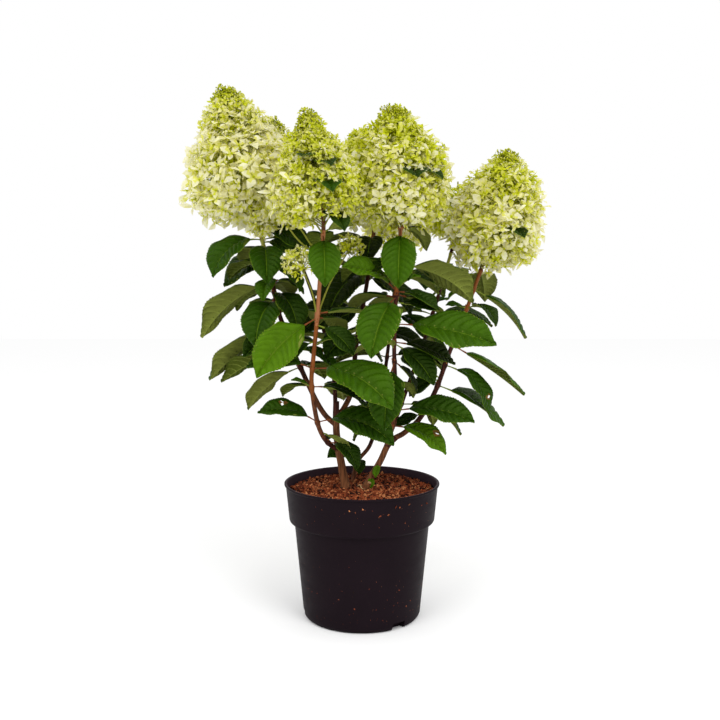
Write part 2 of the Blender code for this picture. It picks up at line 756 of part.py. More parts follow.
def floret_shape(root, centre, normal, radius, turn):
    """A four-sepalled floret as a shallow funnel from its root."""
    across = normal.orthogonal().normalized()
    aside = normal.cross(across)
    points = [root, centre - normal * (0.12 * radius)]
    for k in range(8):
        angle = math.radians(turn) + math.pi * k / 4
        reach = radius if k % 2 == 0 else 0.52 * radius
        lift = 0.10 * radius if k % 2 == 0 else 0.0
        points.append(centre + (across * math.cos(angle) + aside * math.sin(angle)) * reach + normal * lift)
    faces = []
    for k in range(8):
        a, b = 2 + k, 2 + (k + 1) % 8
        faces.append((1, a, b))
        faces.append((0, b, a))
    return points, faces


def head_coordinates(name, point, lines):
    """How far up a head's axis a point lies, and how far out as a share of the radius there."""
    line, run = lines[name]
    best = min(range(len(line)), key=lambda k: (line[k] - point).length)
    share = run[best] / run[-1]
    radius = head_radius(name, min(0.96, max(0.06, share)))
    return share, (line[best] - point).length / radius


def build_head(name, lines):
    """A flower head: its stalk and axis, its core, and the florets that stand out of it."""
    line, run = lines[name]
    radius = HEADS[name]["radius"]
    dice = random.Random(f"head {name} {SEED}")
    centres, places = stretch(line, run, GAP, HEAD_STALK_REACH * run[-1], HEAD_STALK_STEP)
    foot, tip = HEAD_STALK_RADII
    radii = [foot + (tip - foot) * place / run[-1] for place in places]
    stalk = tube(centres, radii, 5, turn=0.3, headings=headings_at(line, run, places))
    axis = add_object(f"head_{name}", *stalk, "flower")
    points, faces = head_shape(name, HEAD_CORE, HEAD_RINGS, HEAD_SIDES)
    for k, point in enumerate(points):
        centre = point_at(line, run, HEAD_RINGS[k // HEAD_SIDES] * run[-1])[0]
        points[k] = centre + (point - centre) * (1 + dice.uniform(-HEAD_LUMPS, HEAD_LUMPS))
    pieces = [add_object("core", points, faces, "flower")]
    count = round(2 * math.pi * 0.62 * radius * run[-1] / FLORET_AREA)
    for k in range(count):
        share = FLORETS_FROM + (FLORETS_TO - FLORETS_FROM) * ((k + 0.5) / count) ** 1.12
        centre, ahead = point_at(line, run, share * run[-1])
        across = Vector((1, 0, 0))
        across = (across - ahead * across.dot(ahead)).normalized()
        angle = math.radians(GOLDEN_TURN * k)
        outwards = across * math.cos(angle) + ahead.cross(across) * math.sin(angle)
        tilt = 0.9 * (share - 0.35)
        normal = (outwards + ahead * tilt).normalized()
        reach = head_radius(name, share) * dice.uniform(0.96, 1.02)
        size = FLORET_RADIUS * (1.1 - 0.5 * share) * dice.uniform(0.9, 1.1)
        middle = centre + outwards * reach
        others = [other for other in HEADS if other != name]
        if any(head_coordinates(other, middle, lines)[1] < FLORET_ROOM for other in others):
            continue
        root = centre + outwards * (0.5 * reach)
        shape = floret_shape(root, middle, normal, size, dice.uniform(0, 90))
        pieces.append(add_object("floret", *shape, "flower"))
    tip = line[-1]
    ahead = (line[-1] - line[-2]).normalized()
    shape = floret_shape(tip - ahead * 0.03, tip - ahead * 0.002, ahead, FLORET_RADIUS * 0.6, 20)
    pieces.append(add_object("floret", *shape, "flower"))
    fuse(axis, pieces)
    return axis


def build_shoot(name, leaves):
    """The leafy stretch of a shoot, with its leaves and any side heads fused to it."""
    spec = SHOOTS[name]
    line = smooth_line(spec["route"])
    run = distances(line)
    start = distance_at_height(line, run, spec["bare"]) + GAP
    centres, places = stretch(line, run, start, run[-1], SHOOT_STEP)
    radii = [shoot_radius(spec, place / run[-1]) for place in places]
    stem = tube(centres, radii, SHOOT_SIDES, headings=headings_at(line, run, places))
    shoot = add_object(f"foliage_{name}", *stem, "leaf")
    pieces = [add_object("leaf", *leaf_shape(root, leaf), "leaf") for root, leaf in leaves]
    if name == "left_inner":
        for side, stalk in zip(SIDE_HEADS, side_head_lines()):
            pieces += side_head_pieces(side, stalk)
    fuse(shoot, pieces)
    return shoot


def side_head_pieces(side, stalk):
    """A small head: its stalk, core and florets."""
    middle, radius = Vector(side["middle"]), side["radius"]
    ahead = (stalk[-1] - stalk[-2]).normalized()
    pieces = [add_object("stalk", *tube(stalk, [SIDE_STALK_RADIUS] * len(stalk), 4, turn=0.4), "flower")]
    pieces.append(add_object("core", *ball(middle, SIDE_CORE * radius), "flower"))
    for k in range(SIDE_FLORETS):
        height = 1 - 1.7 * (k + 0.5) / SIDE_FLORETS
        angle = math.radians(GOLDEN_TURN * k)
        level = math.sqrt(max(0.0, 1 - height * height))
        across = ahead.orthogonal().normalized()
        outwards = across * (math.cos(angle) * level) + ahead.cross(across) * (math.sin(angle) * level)
        outwards += ahead * height
        shape = floret_shape(middle, middle + outwards * radius * 0.95, outwards, SIDE_FLORET_RADIUS, 30 * k)
        pieces.append(add_object("floret", *shape, "flower"))
    return pieces


def fuse(target, pieces):
    """One union of the target with all the pieces, which are then removed."""
    group = bpy.data.collections.new(f"{target.name}_pieces")
    bpy.context.scene.collection.children.link(group)
    for piece in pieces:
        bpy.context.scene.collection.objects.unlink(piece)
        group.objects.link(piece)
    joined = target.modifiers.new("join", "BOOLEAN")
    joined.operation = "UNION"
    joined.operand_type = "COLLECTION"
    joined.collection = group
    joined.solver = "MANIFOLD"
    bpy.context.view_layer.update()
    graph = bpy.context.evaluated_depsgraph_get()
    mesh = bpy.data.meshes.new_from_object(target.evaluated_get(graph))
    target.modifiers.clear()
    target.data = mesh
    for piece in pieces:
        bpy.data.objects.remove(piece)
    bpy.data.collections.remove(group)


def build():
    clear_scene()
    build_pot()
    build_potting_mix()
    for name in TRUNKS:
        build_trunk(name)
    for name in SHOOTS:
        build_bough(name)
    lines = {name: (head_line(name), distances(head_line(name))) for name in HEADS}
    planned = plan_foliage()
    for name in SHOOTS:
        build_shoot(name, planned[name])
        build_head(name, lines)


build()
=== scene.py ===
"""The looks of a panicle hydrangea in a round nursery pot.

Metres, +Z up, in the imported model's frame. Stems, leaves and heads follow the routes and the rule of the
solids that they replace, carried finer. Azimuths are seen from above: 0 is +X and 270 is the viewer.
"""

import math
import random
from collections import namedtuple

import bmesh
import bpy
import numpy as np
from mathutils import Matrix, Vector
from mathutils.bvhtree import BVHTree


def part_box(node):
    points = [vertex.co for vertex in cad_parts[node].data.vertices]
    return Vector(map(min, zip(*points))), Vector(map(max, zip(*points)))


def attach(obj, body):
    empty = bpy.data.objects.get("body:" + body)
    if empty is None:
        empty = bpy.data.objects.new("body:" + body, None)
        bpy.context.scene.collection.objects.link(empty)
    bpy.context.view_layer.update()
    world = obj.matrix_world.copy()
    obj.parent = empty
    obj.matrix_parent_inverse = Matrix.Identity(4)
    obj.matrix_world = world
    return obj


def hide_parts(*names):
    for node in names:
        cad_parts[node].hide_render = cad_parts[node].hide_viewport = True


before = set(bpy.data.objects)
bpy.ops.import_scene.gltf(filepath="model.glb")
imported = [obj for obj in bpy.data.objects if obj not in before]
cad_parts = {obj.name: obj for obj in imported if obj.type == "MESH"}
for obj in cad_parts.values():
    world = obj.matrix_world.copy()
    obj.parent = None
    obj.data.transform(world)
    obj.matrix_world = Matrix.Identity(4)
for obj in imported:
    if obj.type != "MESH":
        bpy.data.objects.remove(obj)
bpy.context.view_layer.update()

# The pot and the mix, read from the frame, with the finer sizes that the solids share
POT_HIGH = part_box("pot")[1]
MIX_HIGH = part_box("potting_mix")[1]
RIM_RADIUS = POT_HIGH.x
POT_HEIGHT = POT_HIGH.z
SOIL_HEIGHT = MIX_HIGH.z
BAND_TOP_RADIUS = RIM_RADIUS - 0.0022
BAND_FOOT_RADIUS = RIM_RADIUS - 0.0072
BODY_TOP_RADIUS = RIM_RADIUS - 0.0147
BASE_RADIUS = RIM_RADIUS - 0.0278
BAND_FOOT_HEIGHT = 0.72 * POT_HEIGHT
BASE_CHAMFER = 0.005
LIP_HEIGHT = 0.004
POT_WALL = 0.0018
POT_SEGMENTS = 144
NOTCH_AZIMUTHS = (307.5, 67.5, 187.5)
NOTCH_WIDTH = 0.022
NOTCH_HEIGHT = 0.0105
NOTCH_DEPTH = 0.012
DRAIN_HOLES = 4
DRAIN_RADIUS = 0.006
DRAIN_RING = 0.045

# The foliage rule, as in the solids
GAP = 0.0003
LEAF_CLEARANCE = 0.0012
STALK_SHARE = 0.17
STALK_RADIUS = 0.0011
STALK_ROOT = 0.0070
BLADE_WIDTH = 0.245
BLADE_THICKNESS = 0.0016
BLADE_FOLD = 14.0
BLADE_STATIONS = (0.0, 0.24, 0.52, 0.80)
PAIR_SPACING = 0.052
GROWN_FROM = 0.300
TURNS_TRIED = (0, 9, -9, 18, -18, 28, -28, 40, -40)
DROPS_TRIED = (0, -12, 12, -24, 24)
HEAD_ROOM = 1.10
HEAD_SPREAD = 0.6
GOLDEN_TURN = 137.508
SEED = 23
TRUNK_STEP = 0.022
BOUGH_STEP = 0.016

TRUNKS = {
    "trunk_left": {
        "route": [
            (-0.024, 0, SOIL_HEIGHT + GAP), (-0.031, 0, 0.229), (-0.036, 0, 0.259), (-0.038, 0, 0.283),
            (-0.038, 0, 0.319),
        ],
        "radii": (0.0064, 0.0044),
        "flare": 0.0026,
    },
    "trunk_right": {
        "route": [
            (0.004, 0, SOIL_HEIGHT + GAP), (0.014, 0, 0.208), (0.028, 0, 0.232), (0.038, 0, 0.254),
            (0.050, 0.002, 0.2655),
        ],
        "radii": (0.0050, 0.0044),
        "flare": 0.0018,
    },
}

# Shoots, as in the solids: route, radii, and pairs of leaves with their height. A shoot without pairs grows
# them by rule above its bare part. A leaf is azimuth, length, rise at the stem, fall at the tip and roll.
SHOOTS = {
    "left_outer": {
        "route": [
            (-0.038, 0, 0.284), (-0.059, 0.005, 0.305), (-0.083, 0.008, 0.352), (-0.116, 0.0, 0.433),
            (-0.133, -0.005, 0.506), (-0.148, -0.005, 0.573),
        ],
        "radii": (0.0040, 0.0027),
        "pairs": [
            (0.556, (219, 0.108, 5, -81, -22), (20, 0.090, 16, -44, 0)),
            (0.544, (279, 0.096, 5, -88, 0), (110, 0.085, 5, -50, 0)),
            (0.522, (325, 0.078, 0, -75, 0), (145, 0.085, 10, -50, 0)),
            (0.497, (188, 0.134, -18, -65, 36), (350, 0.055, 10, -60, 10)),
            (0.492, (260, 0.064, 25, -88, 10), (75, 0.085, 10, -50, 0)),
            (0.480, (303, 0.096, 0, -84, 0), (150, 0.090, 10, -55, 0)),
            (0.466, (253, 0.110, 2, -88, -5), (105, 0.095, 10, -60, 0)),
            (0.434, (181, 0.137, -27, -50, 26), (285, 0.090, -5, -60, 20)),
            (0.416, (224, 0.086, 0, -40, -30), (30, 0.090, 10, -45, 0)),
            (0.396, (180, 0.118, -10, -42, 30), (320, 0.085, 10, -60, 0)),
            (0.370, (168, 0.108, -20, -62, 24), (50, 0.095, 10, -50, 0)),
        ],
    },
    "left_inner": {
        "route": [
            (-0.032, 0, 0.245), (-0.047, -0.007, 0.257), (-0.058, -0.014, 0.272),
            (-0.066, -0.023, 0.298), (-0.072, -0.040, 0.350), (-0.069, -0.050, 0.386),
            (-0.063, -0.065, 0.440), (-0.058, -0.078, 0.497), (-0.052, -0.095, 0.566),
        ],
        "radii": (0.0036, 0.0026),
        "pairs": [
            (0.559, (275, 0.089, -28, -88, 0), (98, 0.080, 12, -50, 0)),
            (0.452, (12, 0.082, 10, -18, 0), (100, 0.070, 10, -50, 0)),
            (0.446, (202, 0.124, -24, -60, -52), (60, 0.080, 0, -50, 0)),
            (0.373, (322, 0.155, 8, -50, 25), (172, 0.100, 25, -30, -45)),
            (0.346, (355, 0.087, 5, -50, 10), (118, 0.070, 10, -50, 0)),
            (0.292, (186, 0.092, 36, -22, -30), (345, 0.126, 18, -54, 35)),
            (0.260, (330, 0.068, 6, -88, 20), (60, 0.036, 30, -30, 0)),
        ],
    },
    "right_inner": {
        "route": [
            (0.036, 0, 0.250), (0.044, -0.007, 0.283), (0.049, -0.022, 0.325), (0.046, -0.036, 0.399),
            (0.048, -0.043, 0.475), (0.051, -0.046, 0.523), (0.054, -0.047, 0.572),
        ],
        "radii": (0.0033, 0.0026),
        "pairs": [
            (0.571, (264, 0.100, -38, -88, 0), (40, 0.066, 8, -80, 0)),
            (0.520, (12, 0.128, -4, -52, -32), (165, 0.105, 15, -50, 0)),
            (0.506, (22, 0.072, -8, -42, 5), (290, 0.045, 20, -50, 0)),
            (0.474, (246, 0.124, -16, -75, -10), (135, 0.100, 10, -45, 0)),
            (0.482, (202, 0.094, 50, -12, -45), (20, 0.070, 0, -50, 20)),
            (0.478, (22, 0.088, -10, -42, 5), (150, 0.090, 0, -40, 0)),
            (0.436, (338, 0.151, 0, -22, 42), (172, 0.095, 0, -40, 0)),
            (0.410, (2, 0.095, -5, -39, 30), (160, 0.070, 0, -40, 0)),
            (0.382, (252, 0.108, -40, -88, 0), (14, 0.058, -34, -78, 30)),
            (0.352, (50, 0.055, -5, -65, 0), (150, 0.090, 10, -50, 0)),
            (0.308, (346, 0.120, 13, -30, 34), (140, 0.075, 20, -40, 0)),
            (0.284, (338, 0.095, 4, -58, 22), (135, 0.075, 20, -50, 0)),
        ],
    },
    "right_outer": {
        "route": [
            (0.0462, 0.0014, 0.2619), (0.050, 0.002, 0.2655), (0.064, 0.005, 0.273),
            (0.087, 0.010, 0.294), (0.110, 0.014, 0.335), (0.131, 0.018, 0.393), (0.154, 0.020, 0.451),
            (0.176, 0.020, 0.514),
        ],
        "radii": (0.0041, 0.0026),
        "pairs": [
            (0.508, (75, 0.086, 0, -75, 0), (168, 0.078, -5, -50, 0)),
            (0.484, (14, 0.114, -25, -62, 24), (200, 0.046, 10, -50, 0)),
            (0.456, (306, 0.074, 22, -75, -10), (200, 0.036, 25, -10, -30)),
            (0.402, (12, 0.140, -29, -41, 10), (110, 0.080, 20, -40, 0)),
            (0.372, (350, 0.104, -15, -88, 22), (165, 0.040, 45, 10, -30)),
            (0.342, (18, 0.130, -20, -46, 30), (168, 0.036, 50, -20, -20)),
            (0.312, (62, 0.040, -40, -85, 0), (205, 0.030, 30, -20, 0)),
        ],
    },
    "centre": {
        "route": [
            (-0.038, 0, 0.298), (-0.027, 0.010, 0.308), (-0.013, 0.030, 0.340), (-0.010, 0.045, 0.388),
            (-0.002, 0.058, 0.437), (0.010, 0.078, 0.506), (0.018, 0.090, 0.566),
        ],
        "radii": (0.0042, 0.0028),
        "pairs": [
            (0.560, (262, 0.086, 10, -80, 0), (172, 0.100, 28, -40, 0)),
            (0.508, (235, 0.130, 0, -70, -10), (300, 0.110, -10, -70, 0)),
            (0.455, (215, 0.122, 8, -50, -40), (35, 0.110, 5, -50, 0)),
            (0.416, (352, 0.110, 10, -40, 20), (200, 0.100, 0, -40, -40)),
            (0.362, (280, 0.100, 15, -45, 0), (80, 0.100, 5, -45, 0)),
        ],
    },
    "rear_left": {
        "route": [
            (-0.037, 0, 0.268), (-0.039, 0.016, 0.290), (-0.045, 0.046, 0.370), (-0.075, 0.092, 0.470),
            (-0.105, 0.125, 0.545),
        ],
        "radii": (0.0034, 0.0026),
        "bare": 0.330,
        "first_turn": 156,
        "set_pairs": [(0.532, (182, 0.140, 6, -50, -20), (2, 0.100, 10, -50, 0))],
    },
    "rear_middle": {
        "route": [
            (-0.0145, 0.036, SOIL_HEIGHT + GAP), (-0.006, 0.042, 0.222), (0.016, 0.058, 0.252),
            (0.034, 0.095, 0.335), (0.050, 0.150, 0.450), (0.058, 0.184, 0.535),
        ],
        "radii": (0.0032, 0.0026),
        "bare": 0.216,
        "first_turn": 12,
        "set_pairs": [(0.221, (200, 0.058, 60, -50, -50), (275, 0.042, 30, -85, 0))],
    },
    "rear_right": {
        "route": [
            (0.025, 0, 0.227), (0.036, 0.016, 0.250), (0.064, 0.044, 0.320), (0.104, 0.086, 0.425),
            (0.142, 0.128, 0.540),
        ],
        "radii": (0.0032, 0.0026),
        "bare": 0.300,
        "first_turn": 84,
    },
}

# Flower heads: the point where the axis bends, the apex, the widest radius, and how bluntly the head narrows
HEADS = {
    "left_outer": ((-0.180, -0.004, 0.650), (-0.197, 0.0, 0.773), 0.083, 0.70),
    "left_inner": ((-0.064, -0.105, 0.650), (-0.072, -0.106, 0.722), 0.063, 0.75),
    "centre": ((0.008, 0.096, 0.655), (-0.002, 0.098, 0.738), 0.058, 0.60),
    "right_inner": ((0.053, -0.046, 0.655), (0.042, -0.046, 0.737), 0.078, 0.60),
    "right_outer": ((0.206, 0.020, 0.600), (0.214, 0.020, 0.687), 0.077, 0.65),
    "rear_left": ((-0.132, 0.140, 0.640), (-0.154, 0.146, 0.760), 0.070, 0.60),
    "rear_middle": ((0.062, 0.204, 0.620), (0.062, 0.212, 0.700), 0.060, 0.60),
    "rear_right": ((0.152, 0.140, 0.600), (0.154, 0.144, 0.668), 0.046, 0.60),
}

# Small side heads of the left inner shoot: height of the stalk's foot, middle and radius
SIDE_HEADS = [(0.446, (-0.085, -0.100, 0.522), 0.021), (0.448, (-0.016, -0.030, 0.545), 0.018)]
SIDE_STALK_RADIUS = 0.0012
# Pale side stalks of the same shoot, which have no solid: height of the foot, and the points that they pass
SIDE_STALKS = [
    (0.530, ((-0.0700, -0.104, 0.548), (-0.0810, -0.108, 0.565), (-0.0940, -0.106, 0.578))),
    (0.530, ((-0.0780, -0.104, 0.545), (-0.0920, -0.106, 0.560), (-0.1010, -0.104, 0.574))),
    (0.560, ((-0.0660, -0.112, 0.580), (-0.0740, -0.118, 0.592), (-0.0780, -0.118, 0.602))),
]
# Tufts of florets that hang below the left outer head: middle and radius
HANGING_TUFTS = [((-0.140, -0.030, 0.583), 0.021), ((-0.124, -0.034, 0.600), 0.018)]
TUFT_SHARE = 0.10


# Steps along stems and heads, shared with the solids


def smooth_line(points, per_span=6, heading=None):
    """Points along a smooth curve through the given ones. It sets out along the heading, if there is one."""
    given = [Vector(p) for p in points]
    before = 2 * given[0] - given[1]
    if heading:
        before = given[1] - 2 * (given[1] - given[0]).length * heading
    ends = [before] + given + [2 * given[-1] - given[-2]]
    line = []
    for before, start, stop, after in zip(ends, ends[1:], ends[2:], ends[3:]):
        for step in range(per_span):
            t = step / per_span
            line.append(
                0.5 * (
                    2 * start
                    + (stop - before) * t
                    + (2 * before - 5 * start + 4 * stop - after) * t ** 2
                    + (3 * start - before - 3 * stop + after) * t ** 3
                )
            )
    line.append(given[-1])
    return line


def distances(line):
    """How far along the line each of its points lies."""
    run = [0.0]
    for a, b in zip(line, line[1:]):
        run.append(run[-1] + (b - a).length)
    return run


def point_at(line, run, distance):
    """The point this far along the line, and the direction there."""
    for k in range(1, len(line)):
        if distance <= run[k] or k == len(line) - 1:
            t = (distance - run[k - 1]) / max(run[k] - run[k - 1], 1e-9)
            return line[k - 1].lerp(line[k], t), (line[k] - line[k - 1]).normalized()
    raise ValueError("an empty line")


def distance_at_height(line, run, height):
    """How far along a rising line it first reaches a height."""
    for k in range(1, len(line)):
        if line[k].z >= height:
            t = (height - line[k - 1].z) / max(line[k].z - line[k - 1].z, 1e-9)
            return run[k - 1] + t * (run[k] - run[k - 1])
    return run[-1]


def limb_line(name):
    """The line of a trunk or shoot, and how far along it each of its points lies."""
    line = smooth_line((TRUNKS.get(name) or SHOOTS[name])["route"])
    return line, distances(line)


def at_height(name, height):
    """The point of a trunk or shoot at this height, and the direction there."""
    line, run = limb_line(name)
    return point_at(line, run, distance_at_height(line, run, height))


def tube(line, radii, sides):
    """Points and faces of a closed tube along a line, as the space test uses it."""
    points, faces = [], []
    across = Vector((1, 0, 0))
    for k, (centre, radius) in enumerate(zip(line, radii)):
        ahead = (line[min(k + 1, len(line) - 1)] - line[max(k - 1, 0)]).normalized()
        across = (across - ahead * across.dot(ahead)).normalized()
        aside = ahead.cross(across)
        for s in range(sides):
            angle = 2 * math.pi * s / sides
            points.append(centre + (across * math.cos(angle) + aside * math.sin(angle)) * radius)
    for k in range(len(line) - 1):
        for s in range(sides):
            a, b = k * sides + s, k * sides + (s + 1) % sides
            faces.append((a, b, b + sides, a + sides))
    faces.append(tuple(reversed(range(sides))))
    faces.append(tuple(range((len(line) - 1) * sides, len(line) * sides)))
    return points, faces


def stretch(line, run, spacing):
    """Points all along the line, about this far apart, with each one's distance."""
    count = max(2, math.ceil(run[-1] / spacing) + 1)
    places = [run[-1] * k / (count - 1) for k in range(count)]
    return [point_at(line, run, place)[0] for place in places], places


def limb_radius(spec, share):
    """The radius of a trunk, with its root flare, or of a shoot at a share of its length."""
    foot, tip = spec["radii"]
    return foot + (tip - foot) * share + spec.get("flare", 0) * max(0.0, 1 - share / 0.18) ** 2


def blade_half_width(share):
    """The half width of a blade, as a share of its widest, from its foot at 0 to its tip at 1."""
    if share <= 0 or share >= 1:
        return 0.0
    body = math.sin(math.pi * share ** 0.86) ** 0.82
    drawn = 1 - 0.42 * max(0.0, (share - 0.68) / 0.32) ** 1.5
    return body * drawn


def leaf_frames(root, leaf, shares):
    """Centre, outwards, sideways and upwards vectors of a leaf at shares of its midrib's length."""
    azimuth, length, rise, fall, roll = leaf
    level = Vector((math.cos(math.radians(azimuth)), math.sin(math.radians(azimuth)), 0))
    steps = 40
    centre = root.copy()
    frames, wanted = [], list(shares)
    for k in range(steps + 1):
        share = k / steps
        slope = math.radians(rise + (fall - rise) * share ** 1.15)
        ahead = level * math.cos(slope) + Vector((0, 0, math.sin(slope)))
        while wanted and wanted[0] <= share + 1e-9:
            spin = Matrix.Rotation(math.radians(roll) * min(1.0, 0.25 + share), 3, ahead)
            aside = spin @ Vector((0, 0, 1)).cross(level)
            frames.append((centre.copy(), ahead, aside, ahead.cross(aside)))
            wanted.pop(0)
        centre += ahead * (length / steps)
    return frames


def leaf_shape(root, leaf, spread=0.0):
    """Points and faces of the plain stalk and blade that the space test uses, swollen by the spread."""
    length = leaf[1]
    shares = [0.0] + [STALK_SHARE + (1 - STALK_SHARE) * s for s in BLADE_STATIONS] + [1.0]
    frames = leaf_frames(root, leaf, shares)
    points, faces = [], []
    fold = math.radians(BLADE_FOLD)
    for k, (centre, _, aside, up) in enumerate(frames[:-1]):
        blade = BLADE_STATIONS[k - 1] if k else 0.0
        half = max(STALK_RADIUS, BLADE_WIDTH * length * blade_half_width(blade)) + spread
        thick = max(STALK_RADIUS, BLADE_THICKNESS / 2) + spread
        lift = (half - STALK_RADIUS) * math.tan(fold) if k > 1 else 0.0
        points += [
            centre + aside * half + up * lift,
            centre + up * thick,
            centre - aside * half + up * lift,
            centre - up * thick,
        ]
    points.append(frames[-1][0] + frames[-1][1] * spread)
    rings = len(frames) - 1
    for k in range(rings - 1):
        for s in range(4):
            a, b = 4 * k + s, 4 * k + (s + 1) % 4
            faces.append((a, b, b + 4, a + 4))
    for s in range(4):
        faces.append((4 * rings - 4 + s, 4 * rings - 4 + (s + 1) % 4, 4 * rings))
    faces.append((3, 2, 1, 0))
    return points, faces


def tree_of(points, faces):
    return BVHTree.FromPolygons([tuple(p) for p in points], faces)


def head_line(name):
    stem, _ = limb_line(name)
    bend, apex, _, _ = HEADS[name]
    return smooth_line([stem[-1], bend, apex], 10, heading=(stem[-1] - stem[-2]).normalized())


def at_share(line, share):
    """The point of a line at this share of its length."""
    run = distances(line)
    return point_at(line, run, share * run[-1])[0]


def head_radius(name, share):
    """The radius of a flower head, from its foot at 0 to its apex at 1."""
    _, _, radius, taper = HEADS[name]
    if share <= 0 or share >= 1:
        return 0.0
    return radius * math.sin(math.pi * share ** HEAD_SPREAD) ** taper


def shoot_pairs(name):
    return SHOOTS[name].get("pairs") or grown_pairs(name)


def grown_pairs(name):
    """Pairs of leaves at even steps up a shoot, each turned a quarter from the last."""
    spec = SHOOTS[name]
    dice = random.Random(f"{name} {SEED}")
    top = spec["route"][-1][2] - 0.030
    height = max(spec["bare"], GROWN_FROM) + 0.01
    turn = spec["first_turn"]
    count = int((top - height) / PAIR_SPACING) + 1
    pairs = []
    for k in range(count):
        leaves = []
        for side in (0, 180):
            leaves.append((
                turn + side + dice.uniform(-14, 14),
                dice.uniform(0.092, 0.122),
                dice.uniform(0, 28),
                dice.uniform(-68, -38),
                dice.uniform(-25, 25),
            ))
        pairs.append((top - k * (top - height) / max(1, count - 1), *leaves))
        turn += 90 + dice.uniform(-12, 12)
    return pairs + spec.get("set_pairs", [])


def side_head_lines():
    """The curved stalks of the two small side heads."""
    lines = []
    for height, middle, _ in SIDE_HEADS:
        foot, ahead = at_height("left_inner", height)
        middle = Vector(middle)
        lines.append(smooth_line([foot, foot.lerp(middle, 0.35) + ahead * 0.012, middle], 5))
    return lines


def ball(centre, radius):
    """A ball with twelve corners."""
    shape = bmesh.new()
    bmesh.ops.create_icosphere(shape, subdivisions=1, radius=radius)
    points = [centre + v.co for v in shape.verts]
    faces = [tuple(v.index for v in f.verts) for f in shape.faces]
    shape.free()
    return points, faces


def plan_foliage():
    """Settles each leaf's place by the same space test as the solids."""
    taken = []
    for name, spec in [*TRUNKS.items(), *SHOOTS.items()]:
        line, run = limb_line(name)
        spacing, sides = (TRUNK_STEP, 8) if name in TRUNKS else (BOUGH_STEP, 6)
        centres, places = stretch(line, run, spacing)
        taken.append(tree_of(*tube(centres, [limb_radius(spec, p / run[-1]) for p in places], sides)))
    shares = [0.02 + 0.95 * k / 8 for k in range(9)]
    for name in HEADS:
        centres = [at_share(head_line(name), share) for share in shares]
        taken.append(tree_of(*tube(centres, [head_radius(name, share) * HEAD_ROOM for share in shares], 10)))
    for (_, middle, radius), line in zip(SIDE_HEADS, side_head_lines()):
        taken.append(tree_of(*tube(line[3:], [SIDE_STALK_RADIUS] * len(line[3:]), 5)))
        taken.append(tree_of(*ball(Vector(middle), radius * 1.1)))
    planned = {name: [] for name in SHOOTS}
    order = [(name, pair, k) for k in (1, 2) for name in SHOOTS for pair in shoot_pairs(name)]
    for name, pair, k in order:
        root, _ = at_height(name, pair[0])
        placed = clear_leaf(root, pair[k], taken)
        if placed:
            planned[name].append((root, placed, (name, pair[0], k)))
    return planned


def clear_leaf(root, leaf, taken):
    """The leaf as given, or turned and dropped by the least that keeps it clear of what is taken."""
    azimuth, length, rise, fall, roll = leaf
    for drop in DROPS_TRIED:
        for turn in TURNS_TRIED:
            tried = (azimuth + turn, length, rise + drop, fall + drop / 2, roll)
            wide = tree_of(*free_leaf(root, tried, LEAF_CLEARANCE))
            if not any(wide.overlap(other) for other in taken):
                taken.append(tree_of(*free_leaf(root, tried, 0.0)))
                return tried
    return None


def free_leaf(root, leaf, spread):
    """The leaf without the root of its stalk, so that its own stem doesn't count against it."""
    points, faces = leaf_shape(root, leaf, spread)
    share = min(0.9, STALK_ROOT / (STALK_SHARE * leaf[1]))
    start = [points[k].lerp(points[k + 4], share) for k in range(4)]
    return start + points[4:], faces


# Colours and finishes


def linear(red, green, blue):
    """A colour given as 0 to 255 on screen, as Blender's linear value."""
    def one(value):
        value /= 255
        return value / 12.92 if value <= 0.04045 else ((value + 0.055) / 1.055) ** 2.4
    return (one(red), one(green), one(blue), 1.0)


def new_node(made, kind, vector=None, **values):
    """A shader node in a material, with a link to its vector and values for its other inputs."""
    node = made.node_tree.nodes.new("ShaderNode" + kind)
    for name, value in values.items():
        node.inputs[name.replace("_", " ")].default_value = value
    if vector is not None:
        made.node_tree.links.new(vector, node.inputs["Vector"])
    return node


